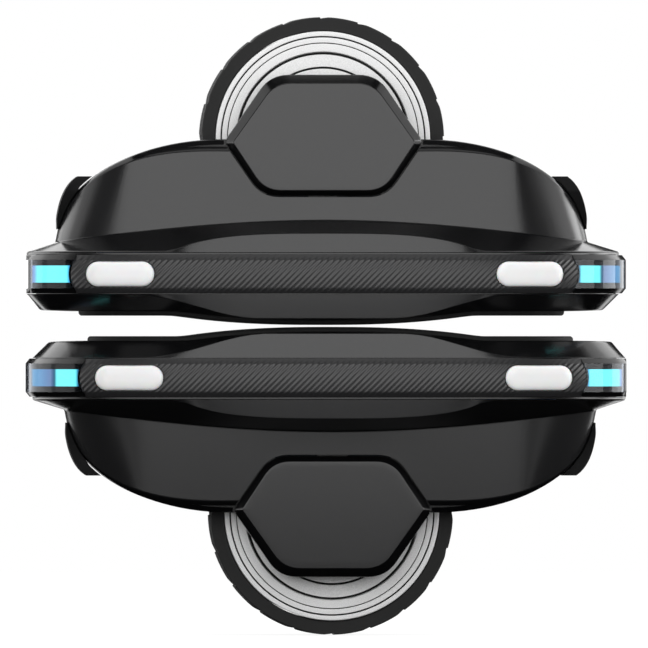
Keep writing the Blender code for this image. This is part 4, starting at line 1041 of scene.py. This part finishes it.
class OBJECT_OT_hover_shoe_wheel(bpy.types.Operator):
    """Builds both shoes' tyres and motor hubs"""
    bl_idname = "object.hover_shoe_wheel"
    bl_label = "Wheels"

    def execute(self, context):
        sizes = context.scene.hover_shoe_sizes
        put_on(build_tyre(sizes), "tyre", "tyre", sharp=30.0)
        shell, cover = build_hub(sizes)
        put_on(shell, "hub_shell", "hub_shell", sharp=50.0)
        put_on(cover, "hub_side_cover", "hub_side_cover", sharp=50.0)
        return {"FINISHED"}


# Shells

def housing_rings(inset, top):
    """Rings of the housing from its underside to a level top, all drawn in by inset."""
    bevel = 0.0 if inset else RIM_BEVEL
    plan = housing_outline(inset)
    foot = [(raked(x, inset), y) for x, y in housing_outline(inset or WALL_DRAFT)]
    rings = []
    if bevel:
        narrow = [(raked(x), y) for x, y in housing_outline(bevel + WALL_DRAFT)]
        rings.append(level([Vector(wide).lerp(Vector(near), chamfer_share(wide[0]))
                            for wide, near in zip(foot, narrow)], underside))
    rim = []
    for x, y in foot:
        low = underside(x, inset)
        rim.append(Vector((x, y, low + min(bevel * chamfer_share(x), (wall_top(x) - low) / 2))))
    rings.append(rim)
    rings.append([Vector((x, y, wall_top(x) + inset)) for x, y in plan])
    panel = []
    for x, y in shell_outline(inset + LIP):
        share = side_panel(x)
        height = PARTING - LIP - SIDE_PANEL_DROP * share + inset
        lean = 1.0 - SIDE_PANEL_LEAN * share / BAND_SIDE
        panel.append(Vector((x, y * lean, min(height, PARTING - SEAT))))
    rings.append(panel)
    rings.append(level(shell_outline(inset), PARTING))
    if top > PARTING:
        rings.append(level(shell_outline(inset), top))
    return rings


def arch(radius, half, foot, steps=48):
    """The half-round hump over the wheel, down to a foot height."""
    return slab_of([(-radius, foot), *arc((0.0, 0.0), radius, 180, 0, steps), (radius, foot)], -half, half)


def stretch(side, near, far):
    """Both ends of a stretch on the negative or the positive side, the lower one first."""
    return sorted((side * near, side * far))


def posts(radius, start, end, steps=ROUND_STEPS):
    """A round post at the place of every screw."""
    bm = bmesh.new()
    for place in SCREW_PLACES:
        post(radius, start, end, place, steps=steps, into=bm)
    return bm


def cover_corners(inset_low=0.0, inset_high=0.0, grow=0.0):
    """Corners of the hexagonal axle cover in side view, drawn in or grown on its edges."""
    side = COVER_HALF - (inset_low + inset_high) * SIDE_CORNER_SHARE + grow
    top = COVER_TOP_HALF + (grow - inset_high) * CORNER_SHARE
    foot = COVER_FOOT_HALF + (grow - inset_low) * CORNER_SHARE
    high, low = COVER_TOP - inset_high + grow, COVER_FOOT + inset_low - grow
    return [(side, COVER_WIDEST), (top, high), (-top, high), (-side, COVER_WIDEST), (-foot, low), (foot, low)]


def cover_outline(inset_low=0.0, inset_high=0.0, grow=0.0, less=0.0, steps=8):
    """The axle cover's outline: rounder at the hexagon's upper and lower corners than at its sides."""
    wide, tight = COVER_CORNER - less, COVER_SIDE_CORNER - less / 2
    return rounded(cover_corners(inset_low, inset_high, grow), (tight, wide, wide, tight, wide, wide), steps)


def build_housing(sizes):
    """Boat-shaped lower shell with its wheel arch, screw wells, cover notches and side holes."""
    edge = sizes.edge_round / MM
    rings = housing_rings(0.0, PARTING)
    inner = level([(raked(x), y) for x, y in housing_outline(RIM_BEVEL * 2 + WALL_DRAFT)], underside)
    rings, finishes = eased([inner] + rings, [edge * share for share in HOUSING_ROUNDING],
                            [SATIN, POLISHED, SATIN, POLISHED, SATIN])
    shell = work_object("housing", loft(rings, finishes), shell_finishes())
    arch_top = work_object("arch", arch(ARCH_RADIUS, ARCH_HALF, 0.0), shell_finishes())
    carve(arch_top, (block((-FAR, -FAR, NOSE_TOP), (FAR, FAR, FAR)), "INTERSECT"))
    chamber = work_object("chamber", loft(housing_rings(HOUSING_WALL, PLATE_TOP)), shell_finishes())
    controls = ((BUTTON_X, BUTTON_RADIUS), (-BUTTON_X, PORT_RADIUS))
    sleeve = SIDE_HALF - CONTROL_DEPTH
    carve(chamber, (arch(ARCH_RADIUS, ARCH_HALF, -JOIN), "DIFFERENCE"),
          (posts(BOSS_RADIUS, -FAR, PLATE_BOTTOM - SEAT), "DIFFERENCE"),
          *[(post(radius + SEAT + SLEEVE_WALL, sleeve, FAR, (x, CONTROL_Z), "Y"), "DIFFERENCE")
            for x, radius in controls])
    carve(shell, (reopened(arch_top), "UNION"), (reopened(chamber), "DIFFERENCE"))
    notch = cover_outline(grow=SEAT)
    bay_top = HOUSING_FLOOR + HOUSING_WALL + JOIN
    cuts = [(arch(WELL_INNER, WELL_HALF, -FAR, 64), "DIFFERENCE"),
            (posts(SCREW_WELL, -FAR, SCREW_SEAT), "DIFFERENCE"),
            (posts(SCREW_HOLE, 0.0, FAR, 16), "DIFFERENCE")]
    for side in (-1, 1):
        low, high = stretch(side, SIDE_HALF - HOUSING_WALL - JOIN, FAR)
        cuts.append((slab_of(notch, low, high), "DIFFERENCE"))
        low, high = stretch(side, WELL_HALF - JOIN, ARM_INNER + JOIN)
        cuts.append((block((-AXLE_SLOT, low, -FAR), (AXLE_SLOT, high, AXLE_SLOT)), "DIFFERENCE"))
        low, high = stretch(side, ARCH_HALF + SEAT / 2, SIDE_HALF - HOUSING_WALL)
        cuts.append((block((-COVER_BAY_HALF, low, -FAR), (COVER_BAY_HALF, high, bay_top)), "DIFFERENCE"))
    for x, radius in controls:
        hole = post(radius + SEAT, sleeve - JOIN, FAR, (x, CONTROL_Z), "Y", CONTROL_STEPS)
        cuts.append((hole, "DIFFERENCE"))
    return carve(shell, *cuts)


class OBJECT_OT_hover_shoe_housing(bpy.types.Operator):
    """Builds both shoes' lower housings"""
    bl_idname = "object.hover_shoe_housing"
    bl_label = "Lower Housings"

    def execute(self, context):
        put_on(build_housing(context.scene.hover_shoe_sizes), "housing", "housing")
        return {"FINISHED"}


def build_axle_cover(sizes, side):
    """Hexagonal cap over one axle end: a sloping polished rim round a flat satin face."""
    edge = sizes.edge_round / MM
    skirt = ARM_INNER + SEAT
    outlines = [
        (cover_outline(), skirt), (cover_outline(), COVER_RIM),
        (cover_outline(COVER_SLOPE_LOW, COVER_SLOPE_HIGH, less=1.0), COVER_FACE),
        (cover_outline(COVER_SLOPE_LOW * 2, COVER_SLOPE_HIGH * 2, less=2.0), COVER_FACE)]
    rings = [[Vector((x, side * y, z)) for x, z in outline] for outline, y in outlines]
    rings, finishes = eased(rings, [edge * share for share in AXLE_COVER_ROUNDING],
                            [POLISHED, POLISHED, SATIN])
    cover = work_object("axle_cover", loft(rings, finishes, across=False), shell_finishes())
    grow = -AXLE_COVER_WALL
    hollow = cover_outline(grow=grow, less=3.0, steps=4)
    face = cover_outline(COVER_SLOPE_LOW, COVER_SLOPE_HIGH, grow, 3.0, 4)
    inner = [[Vector((x, side * y, z)) for x, z in outline]
             for outline, y in ((hollow, skirt - JOIN), (hollow, COVER_RIM), (face, COVER_FACE + grow))]
    low, high = stretch(side, 0.0, SIDE_HALF - HOUSING_WALL + SEAT)
    return carve(cover, (loft(inner, across=False), "DIFFERENCE"),
                 (block((-FAR, low, HOUSING_FLOOR - SEAT), (FAR, high, FAR)), "DIFFERENCE"))


class OBJECT_OT_hover_shoe_axle_covers(bpy.types.Operator):
    """Builds the hexagonal covers over the axles' ends"""
    bl_idname = "object.hover_shoe_axle_covers"
    bl_label = "Axle Covers"

    def execute(self, context):
        for side, name in ((-1, "axle_cover_left"), (1, "axle_cover_right")):
            put_on(build_axle_cover(context.scene.hover_shoe_sizes, side), name, name)
        return {"FINISHED"}


def build_deck_cover(sizes):
    """Upper shell: the band's seat, facets over it, and the crowned deck with the mat's pocket."""
    edge = sizes.edge_round / MM
    plan = shell_outline()
    seat = band_outline(BAND_SEAT, BAND_SEAT)
    panel = []
    for x, y in shell_outline(LIP):
        share = upper_panel(x)
        panel.append(Vector((x, y * (1.0 - UPPER_PANEL_LEAN * share / BAND_SIDE),
                             BAND_TOP + SEAT + LIP + UPPER_PANEL_RISE * share)))
    pocket = oval(MAT_HALF_LENGTH + SEAT, MAT_HALF_WIDTH + SEAT, MAT_FULLNESS)
    rings = [level(plan, PARTING + SEAT), level(plan, BAND_BOTTOM - SEAT), level(seat, BAND_BOTTOM - SEAT),
             level(seat, BAND_TOP + SEAT), level(plan, BAND_TOP + SEAT), panel,
             level(band_outline(DECK_INSET), deck_height), level(pocket, deck_height),
             level(pocket, lambda x: deck_height(x) - MAT_POCKET)]
    rings, finishes = eased(rings, [edge * share for share in DECK_ROUNDING],
                            [SATIN, SATIN, SATIN, SATIN, SATIN, POLISHED, SATIN, SATIN])
    cover = work_object("deck_cover", loft(rings, finishes), shell_finishes())
    wall = BAND_SEAT + COVER_WALL
    chamber = work_object("chamber", loft([level(band_outline(wall, wall), PARTING - JOIN),
                                           level(band_outline(wall, wall), BAND_TOP - JOIN),
                                           level(band_outline(wall + DECK_INSET, wall), CEILING)]),
                          shell_finishes())
    carve(chamber, (posts(BOSS_RADIUS, PLATE_TOP + SEAT, FAR), "DIFFERENCE"))
    holes = [(block((x - SENSOR_HOLE, -SENSOR_HOLE, 0.0), (x + SENSOR_HOLE, SENSOR_HOLE, FAR)), "DIFFERENCE")
             for x in SENSOR_PLACES]
    return carve(cover, (reopened(chamber), "DIFFERENCE"),
                 (posts(SCREW_HOLE, 0.0, SCREW_SEAT + SCREW_HOLE_DEPTH, 16), "DIFFERENCE"), *holes)


class OBJECT_OT_hover_shoe_deck_cover(bpy.types.Operator):
    """Builds both shoes' deck covers"""
    bl_idname = "object.hover_shoe_deck_cover"
    bl_label = "Deck Covers"

    def execute(self, context):
        put_on(build_deck_cover(context.scene.hover_shoe_sizes), "deck_cover", "deck_cover")
        return {"FINISHED"}


def build_foot_mat():
    """Crowned rubber mat with a rounded rim and cross grooves at both ends."""
    plan = oval(MAT_HALF_LENGTH, MAT_HALF_WIDTH, MAT_FULLNESS)
    top = oval(MAT_HALF_LENGTH - MAT_EDGE, MAT_HALF_WIDTH - MAT_EDGE, MAT_FULLNESS)
    inner = oval(MAT_HALF_LENGTH - MAT_RIM, MAT_HALF_WIDTH - MAT_RIM, MAT_FULLNESS)
    rings = [level(plan, lambda x: deck_height(x) - MAT_SUNK),
             level(plan, lambda x: deck_height(x) + MAT_PROUD - MAT_EDGE),
             level(top, lambda x: deck_height(x) + MAT_PROUD),
             level(inner, lambda x: deck_height(x) + MAT_PROUD)]
    rings, finishes = eased(rings, [MAT_ROUNDING, MAT_ROUNDING], [SATIN, SATIN, SATIN])
    mat = work_object("foot_mat", loft(rings, finishes), [look("mat")])
    grooves = bmesh.new()
    top_z = DECK_FLAT + MAT_PROUD
    for index in range(MAT_GROOVES):
        for side in (-1, 1):
            x = side * (MAT_GROOVE_START + MAT_GROOVE_PITCH * (index + 0.5))
            block((x - MAT_GROOVE_HALF, -MAT_GROOVE_REACH, top_z - MAT_GROOVE_DEPTH),
                  (x + MAT_GROOVE_HALF, MAT_GROOVE_REACH, top_z + MAT_GROOVE_ABOVE), into=grooves)
    return carve(mat, (grooves, "DIFFERENCE"))


class OBJECT_OT_hover_shoe_foot_mat(bpy.types.Operator):
    """Builds both shoes' foot mats"""
    bl_idname = "object.hover_shoe_foot_mat"
    bl_label = "Foot Mats"

    def execute(self, context):
        put_on(build_foot_mat(), "foot_mat", "foot_mat")
        return {"FINISHED"}


# Band

def end_zone(side, start):
    """Everything past the bowed line where the side trim gives way to the lens."""
    span = BAND_TOP - BAND_BOTTOM
    outline = []
    half = BOW_STEPS // 2
    for step in range(BOW_STEPS + 1):
        share = step / half - 1.0
        outline.append((side * (start - LENS_BOW * share * share), BAND_CENTRE + span * share / 2))
    outline[0] = (outline[0][0], BAND_CENTRE - span)
    outline[-1] = (outline[-1][0], BAND_CENTRE + span)
    outline += [(side * FAR, BAND_CENTRE + span), (side * FAR, BAND_CENTRE - span)]
    return slab_of(outline, -FAR, FAR)


def pill_outline(x, inset=0.0, steps=12):
    """The long round outline of a side pad, in side view."""
    radius, reach = PAD_HEIGHT / 2 - inset, (PAD_LENGTH - PAD_HEIGHT) / 2
    return (arc((x + reach, BAND_CENTRE), radius, -90, 90, steps)
            + arc((x - reach, BAND_CENTRE), radius, 90, 270, steps))


def build_side_trim(sizes, side):
    """Ribbed side of the band: slanted ribs on its face, plain bevels above and below."""
    pitch, depth = sizes.rib_pitch / MM, sizes.rib_depth / MM
    low, high = BAND_BOTTOM + BAND_BEVEL, BAND_TOP - BAND_BEVEL
    barrel = [(low + (high - low) * share, BAND_BARREL * (2 * share - 1) ** 2, 1.0)
              for share in (0.04, 0.14, 0.26, 0.38, 0.5, 0.62, 0.74, 0.86, 0.96)]
    # Height, inset and share of a rib's depth, from the lower back edge round the face to the upper one
    rows = [(BAND_BOTTOM, BAND_BACK, 0.0), (BAND_BOTTOM, BAND_SLOPE + BAND_EDGE, 0.0),
            (BAND_BOTTOM + BAND_EDGE, BAND_SLOPE, 0.0),
            (low - TRIM_FADE, BAND_BARREL + TRIM_FADE_DEPTH, 0.6), *barrel,
            (high + TRIM_FADE, BAND_BARREL + TRIM_FADE_DEPTH, 0.6), (BAND_TOP - BAND_EDGE, BAND_SLOPE, 0.0),
            (BAND_TOP, BAND_SLOPE + BAND_EDGE, 0.0), (BAND_TOP, BAND_BACK, 0.0)]
    wave = (0.0, 0.55, 1.0, 0.55)
    rings = []
    columns = int(2 * (LENS_START + TRIM_OVERRUN) / pitch) * len(wave)
    for column in range(columns + 1):
        start = (column - columns / 2) * pitch / len(wave)
        ring = []
        for z, inset, share in rows:
            x = start + z - BAND_CENTRE
            deep = inset + depth * share * wave[column % len(wave)]
            ring.append(Vector((x, side * band_side(x, deep), z)))
        rings.append(ring)
    trim = work_object("side_trim", loft(rings, across=False), [look("trim")])
    cuts = [(end_zone(end, LENS_START - SEAT), "DIFFERENCE") for end in (-1, 1)]
    cuts += [(slab_of(pill_outline(end * PAD_PLACE, -SEAT), *stretch(side, 0.0, FAR)), "DIFFERENCE")
             for end in (-1, 1)]
    return carve(trim, *cuts)


class OBJECT_OT_hover_shoe_side_trims(bpy.types.Operator):
    """Builds the ribbed trims on both sides of the bands"""
    bl_idname = "object.hover_shoe_side_trims"
    bl_label = "Side Trims"

    def execute(self, context):
        for side, name in ((-1, "side_trim_left"), (1, "side_trim_right")):
            put_on(build_side_trim(context.scene.hover_shoe_sizes, side), name, name, sharp=40.0)
        return {"FINISHED"}


def build_side_pad(end, side):
    """White pill-shaped pad, domed towards its edges, let into the trim."""
    rings = []
    for inset, proud in PAD_SECTION:
        ring = []
        for x, z in pill_outline(end * PAD_PLACE, inset, 16):
            ring.append(Vector((x, side * band_side(x, -proud), z)))
        rings.append(ring)
    return work_object("side_pad", loft(rings, across=False), [look("pad")])


class OBJECT_OT_hover_shoe_side_pads(bpy.types.Operator):
    """Builds the white pads in the side trims"""
    bl_idname = "object.hover_shoe_side_pads"
    bl_label = "Side Pads"

    def execute(self, context):
        for end, end_name in ((1, "front"), (-1, "rear")):
            for side, side_name in ((-1, "left"), (1, "right")):
                name = f"side_pad_{end_name}_{side_name}"
                put_on(build_side_pad(end, side), name, name, sharp=60.0)
        return {"FINISHED"}


def band_skin(outer, inner, low, high, bevel=0.0, slope=0.0, finishes=None):
    """A closed ring that follows the band, from one inset to another, with its outer edges bevelled."""
    back = band_outline(inner, inner)
    edge = band_outline(outer + slope, outer)
    face = band_outline(outer, outer)
    rings = [level(back, low), level(edge, low), level(face, low + bevel), level(face, high - bevel),
             level(edge, high), level(back, high)]
    if not bevel:
        rings = [rings[0], rings[2], rings[3], rings[5]]
    return loft(rings, finishes, closed=True)


class OBJECT_OT_hover_shoe_lights(bpy.types.Operator):
    """Builds the smoked lenses at both ends and the lit strips behind them"""
    bl_idname = "object.hover_shoe_lights"
    bl_label = "Lights"

    def execute(self, context):
        for end, name in ((1, "front"), (-1, "rear")):
            window = band_skin(0.0, LENS_THICKNESS, BAND_BOTTOM, BAND_TOP, BAND_BEVEL, BAND_SLOPE,
                               [POLISHED, POLISHED, SATIN, POLISHED, POLISHED, SATIN])
            lens = work_object("lens", window, [look("lens"), look("polished")])
            put_on(carve(lens, (end_zone(end, LENS_START), "INTERSECT")), f"light_lens_{name}",
                   f"light_lens_{name}")
            strip = band_skin(LENS_THICKNESS + SEAT, BAND_BACK, BAND_CENTRE - LIGHT_HEIGHT / 2,
                              BAND_CENTRE + LIGHT_HEIGHT / 2, finishes=[SATIN, LIT, SATIN, SATIN])
            board = work_object("board", strip, [look("satin"), look("light")])
            put_on(carve(board, (end_zone(end, LENS_START + LIGHT_START), "INTERSECT")),
                   f"light_board_{name}", f"light_board_{name}")
        return {"FINISHED"}


# Small pieces

def build_nose_bumper(end):
    """Rubber pad that hugs a nose, thickest at its foot."""
    outside = []
    for step in range(BUMPER_STEPS + 1):
        z = BUMPER_FOOT + (BUMPER_TOP - BUMPER_FOOT) * step / BUMPER_STEPS
        drop = (NOSE_TOP - z) / (NOSE_TOP - BUMPER_FOOT + BUMPER_DROP)
        bulge = (1.0 - drop ** BUMPER_ROUND) ** (1.0 / BUMPER_ROUND)
        tuck = BUMPER_TUCK * smooth(BUMPER_TAPER, BUMPER_TOP, z)
        outside.append((BUMPER_START + (BUMPER_TIP - BUMPER_START) * bulge - tuck, z))
    outline = [(end * x, z) for x, z in outside + [(BUMPER_BACK, BUMPER_TOP), (BUMPER_BACK, BUMPER_FOOT)]]
    bumper = work_object("nose_bumper", slab_of(outline, -BUMPER_HALF_WIDTH, BUMPER_HALF_WIDTH),
                         [look("rubber")])
    plan = oval(BUMPER_TIP + SEAT, SIDE_HALF + BUMPER_SIDE, HOUSING_FULLNESS)
    shift = Vector((end * BUMPER_GAP, 0.0, -BUMPER_GAP))
    seat = [[point + shift for point in ring] for ring in housing_rings(0.0, PARTING)]
    wide, high = BUMPER_HALF_WIDTH + JOIN, BUMPER_TOP + JOIN
    narrowed = [(-wide, 0.0), (wide, 0.0), (wide, BUMPER_WAIST), (BUMPER_TOP_HALF, high),
                (-BUMPER_TOP_HALF, high), (-wide, BUMPER_WAIST)]
    front = loft([[Vector((x, y, z)) for y, z in narrowed] for x in stretch(end, BUMPER_INNER, FAR)])
    return carve(bumper, (loft([level(plan, 0.0), level(plan, FAR)]), "INTERSECT"), (front, "INTERSECT"),
                 (loft(seat), "DIFFERENCE"))


class OBJECT_OT_hover_shoe_bumpers(bpy.types.Operator):
    """Builds the rubber bumpers on the housings' noses"""
    bl_idname = "object.hover_shoe_bumpers"
    bl_label = "Nose Bumpers"

    def execute(self, context):
        for end, name in ((1, "nose_bumper_front"), (-1, "nose_bumper_rear")):
            put_on(build_nose_bumper(end), name, name, sharp=40.0)
        return {"FINISHED"}


def build_screw(x, y):
    """Socket screw, head down in its well, with its core going up into the deck cover's boss."""
    low, seat = SCREW_SEAT - SCREW_HEAD_HEIGHT, SCREW_SEAT - SEAT
    profile = [(POLE, low), (SCREW_HEAD - SCREW_HEAD_EDGE, low), (SCREW_HEAD, low + SCREW_HEAD_EDGE),
               (SCREW_HEAD, seat), (SCREW_CORE, seat), (SCREW_CORE, SCREW_SEAT + SCREW_LENGTH),
               (POLE, SCREW_SEAT + SCREW_LENGTH)]
    bm = bmesh.new()
    edges = start_ring(bm, [(radius, 0.0, z) for radius, z in profile])
    bmesh.ops.spin(bm, geom=bm.verts[:] + edges, cent=(0, 0, 0), axis=(0, 0, 1), angle=2 * math.pi,
                   steps=24, use_merge=True)
    bmesh.ops.remove_doubles(bm, verts=bm.verts[:], dist=POLE * 2)
    bmesh.ops.translate(bm, verts=bm.verts[:], vec=(x, y, 0.0))
    socket = post(SOCKET_RADIUS, low - JOIN, low + SOCKET_DEPTH, (x, y), steps=6)
    return carve(work_object("screw", bm, [look("screw")]), (socket, "DIFFERENCE"))


class OBJECT_OT_hover_shoe_screws(bpy.types.Operator):
    """Builds the socket screws in the housings' wells"""
    bl_idname = "object.hover_shoe_screws"
    bl_label = "Screws"

    def execute(self, context):
        for number, (x, y) in enumerate(SCREW_PLACES, 1):
            put_on(build_screw(x, y), f"housing_screw_{number}", body_of="housing")
        return {"FINISHED"}


def build_button():
    """Rubber button with a rounded edge and a dished face."""
    face = SIDE_HALF + BUTTON_PROUD
    back = SIDE_HALF - CONTROL_DEPTH
    profile = [(POLE, back), (BUTTON_RADIUS, back)]
    profile += [(BUTTON_RADIUS - inward, face - deep) for inward, deep in BUTTON_CORNERS]
    profile += [(radius, face - deep) for radius, deep in BUTTON_DISH]
    bm = turned(profile, CONTROL_STEPS)
    bmesh.ops.remove_doubles(bm, verts=bm.verts[:], dist=POLE * 2)
    bmesh.ops.translate(bm, verts=bm.verts[:], vec=(BUTTON_X, 0.0, CONTROL_Z))
    return work_object("button", bm, [look("rubber")])


def build_port():
    """Round charging socket with a flared mouth and one pin."""
    floor = SIDE_HALF - PORT_DEPTH
    place = (-BUTTON_X, CONTROL_Z)
    port = work_object("port", post(PORT_RADIUS, floor - PORT_BACK, SIDE_HALF, place, "Y", CONTROL_STEPS),
                       [look("steel")])
    bore = post(PORT_BORE, floor, FAR, place, "Y", CONTROL_STEPS)
    flare = post(PORT_BORE, SIDE_HALF - FLARE_DEPTH, SIDE_HALF + FLARE_REACH, place, "Y", CONTROL_STEPS,
                 top=PORT_BORE + PORT_FLARE)
    pin = post(PIN_RADIUS, floor - JOIN, floor + PIN_LENGTH, place, "Y", 16)
    return carve(port, (bore, "DIFFERENCE"), (flare, "DIFFERENCE"), (pin, "UNION"))


def build_cap():
    """Rubber cap whose plug fills the socket, with a strap down to its hinge."""
    x, z = -BUTTON_X, CONTROL_Z
    near = SIDE_HALF + SEAT
    outer = near + CAP_THICKNESS
    section = [(PORT_BORE - inward, near - deep) for inward, deep in CAP_PLUG]
    section += [(CAP_RADIUS - inward, near - deep) for inward, deep in CAP_EDGE]
    section += [(CAP_RADIUS - inward, outer - deep) for inward, deep in CAP_FACE]
    turns = [math.pi * 2 * step / CONTROL_STEPS for step in range(CONTROL_STEPS)]
    rings = [[Vector((x + radius * math.cos(turn), y, z + radius * math.sin(turn))) for turn in turns]
             for radius, y in section]
    cap = work_object("cap", loft(rings, across=False), [look("rubber")])
    strap = block((x - CAP_STRAP / 2, near, z - HINGE_DROP - STRAP_END),
                  (x + CAP_STRAP / 2, outer - STRAP_THINNER, z - STRAP_OVERLAP))
    return carve(cap, (strap, "UNION"))


class OBJECT_OT_hover_shoe_controls(bpy.types.Operator):
    """Builds the power buttons, charging sockets and their rubber caps"""
    bl_idname = "object.hover_shoe_controls"
    bl_label = "Controls"

    def execute(self, context):
        put_on(build_button(), "power_button", "power_button")
        put_on(build_port(), "charge_port", "charge_port")
        put_on(build_cap(), "charge_port_cap", "charge_port_cap")
        return {"FINISHED"}


class OBJECT_OT_hover_shoe_inner_parts(bpy.types.Operator):
    """Gives the parts inside the shoes their finishes"""
    bl_idname = "object.hover_shoe_inner_parts"
    bl_label = "Inner Parts"

    def execute(self, context):
        finishes = {"wheel_bearing_left": "steel", "wheel_bearing_right": "steel", "motor_stator": "copper",
                    "chassis": "alloy", "battery_pack": "battery", "control_board": "board",
                    "foot_sensors": "board"}
        for shoe in PLACES:
            for node, key in finishes.items():
                obj = frame["nodes"][f"{shoe}_{node}"]
                obj.data.materials.clear()
                obj.data.materials.append(look(key))
        return {"FINISHED"}


# Studio

def area_light(name, place, target, size, power):
    """A soft box of a given width and height that looks at a point."""
    lamp = bpy.data.lights.new(name, "AREA")
    lamp.shape = "RECTANGLE"
    lamp.size, lamp.size_y = size
    lamp.energy = power
    obj = new_object(name, lamp)
    obj.location = place
    obj.rotation_euler = (Vector(target) - Vector(place)).to_track_quat("-Z", "Y").to_euler()
    obj.visible_camera = False


def black_card(corners):
    """A black card with four corners, which only reflections show."""
    bm = bmesh.new()
    bmesh.ops.contextual_create(bm, geom=[bm.verts.new(corner) for corner in corners])
    mesh = bpy.data.meshes.new("black_card")
    bm.to_mesh(mesh)
    bm.free()
    card = new_object("black_card", mesh)
    mesh.materials.append(look("flock"))
    card.visible_camera = card.visible_diffuse = card.visible_transmission = card.visible_shadow = False


def lay_floor():
    """The pale floor, which holds the object's shadow."""
    bm = bmesh.new()
    bmesh.ops.create_grid(bm, x_segments=1, y_segments=1, size=FLOOR_HALF)
    mesh = bpy.data.meshes.new("floor")
    bm.to_mesh(mesh)
    bm.free()
    floor = new_object("floor", mesh)
    mesh.materials.append(floor_paint())


def light_surroundings(scene):
    """White surroundings for the eye, and a dimmer sky for the light that falls on the object."""
    scene.world = bpy.data.worlds.new("studio")
    scene.world.use_nodes = True
    tree = scene.world.node_tree
    tree.nodes.clear()
    strength = add_node(tree, "ShaderNodeMapRange", {"Value": seen_or_mirrored(tree), 3: SKY_LEVEL, 4: 1.0})
    back = add_node(tree, "ShaderNodeBackground", {"Color": (1.0, 1.0, 1.0, 1.0),
                                                   "Strength": strength.outputs["Result"]})
    add_node(tree, "ShaderNodeOutputWorld", {"Surface": back.outputs[0]})


def aim_camera(scene):
    """A long lens, nearly square to the side, so that the far parts look as large as the near ones."""
    lens = bpy.data.cameras.new("camera")
    lens.sensor_width = SENSOR_WIDTH
    lens.lens = SENSOR_WIDTH * CAMERA_DISTANCE / PICTURE_WIDTH
    lens.clip_end = FARTHEST_SEEN
    camera = scene.camera = new_object("camera", lens)
    target = Vector(CAMERA_TARGET)
    turn = math.radians(CAMERA_TURN)
    camera.location = target + Vector((-math.sin(turn), -math.cos(turn), 0.0)) * CAMERA_DISTANCE
    camera.rotation_euler = (target - camera.location).to_track_quat("-Z", "Y").to_euler()


class OBJECT_OT_hover_shoe_stage(bpy.types.Operator):
    """Sets up the pale floor, the soft studio light, the white surroundings and the camera"""
    bl_idname = "object.hover_shoe_stage"
    bl_label = "Studio"

    def execute(self, context):
        scene = context.scene
        scene.view_settings.view_transform = "Standard"
        lay_floor()
        light_surroundings(scene)
        for name, place, target, size, power in LIGHTS:
            area_light(name, place, target, size, power)
        for (x, y), (end_x, end_y), low, high in UPRIGHT_CARDS:
            black_card([(x, y, low), (end_x, end_y, low), (end_x, end_y, high), (x, y, high)])
        for half, near, far, z in FLAT_CARDS:
            black_card([(-half, near, z), (half, near, z), (half, far, z), (-half, far, z)])
        aim_camera(scene)
        return {"FINISHED"}


# Panel and start

OPERATORS = (
    OBJECT_OT_hover_shoe_wheel, OBJECT_OT_hover_shoe_housing, OBJECT_OT_hover_shoe_axle_covers,
    OBJECT_OT_hover_shoe_deck_cover, OBJECT_OT_hover_shoe_foot_mat, OBJECT_OT_hover_shoe_side_trims,
    OBJECT_OT_hover_shoe_side_pads, OBJECT_OT_hover_shoe_lights, OBJECT_OT_hover_shoe_bumpers,
    OBJECT_OT_hover_shoe_screws, OBJECT_OT_hover_shoe_controls, OBJECT_OT_hover_shoe_inner_parts,
    OBJECT_OT_hover_shoe_stage,
)


class VIEW3D_PT_hover_shoes(bpy.types.Panel):
    """Lists the sizes, the colours and a button for each piece"""
    bl_label = "Hover Shoes"
    bl_space_type = "VIEW_3D"
    bl_region_type = "UI"
    bl_category = "Hover Shoes"

    def draw(self, context):
        column = self.layout.column()
        for settings in (context.scene.hover_shoe_sizes, context.scene.hover_shoe_colours):
            for key in settings.bl_rna.properties.keys():
                if key not in ("rna_type", "name"):
                    column.prop(settings, key)
        for operator in OPERATORS:
            column.operator(operator.bl_idname)


CLASSES = (HoverShoeSizes, HoverShoeColours, *OPERATORS, VIEW3D_PT_hover_shoes)


def register():
    for each in CLASSES:
        bpy.utils.register_class(each)
    bpy.types.Scene.hover_shoe_sizes = bpy.props.PointerProperty(type=HoverShoeSizes)
    bpy.types.Scene.hover_shoe_colours = bpy.props.PointerProperty(type=HoverShoeColours)


def unregister():
    del bpy.types.Scene.hover_shoe_colours
    del bpy.types.Scene.hover_shoe_sizes
    for each in reversed(CLASSES):
        bpy.utils.unregister_class(each)


def main():
    register()
    for operator in OPERATORS:
        group, name = operator.bl_idname.split(".")
        getattr(getattr(bpy.ops, group), name)()


if __name__ == "__main__":
    main()
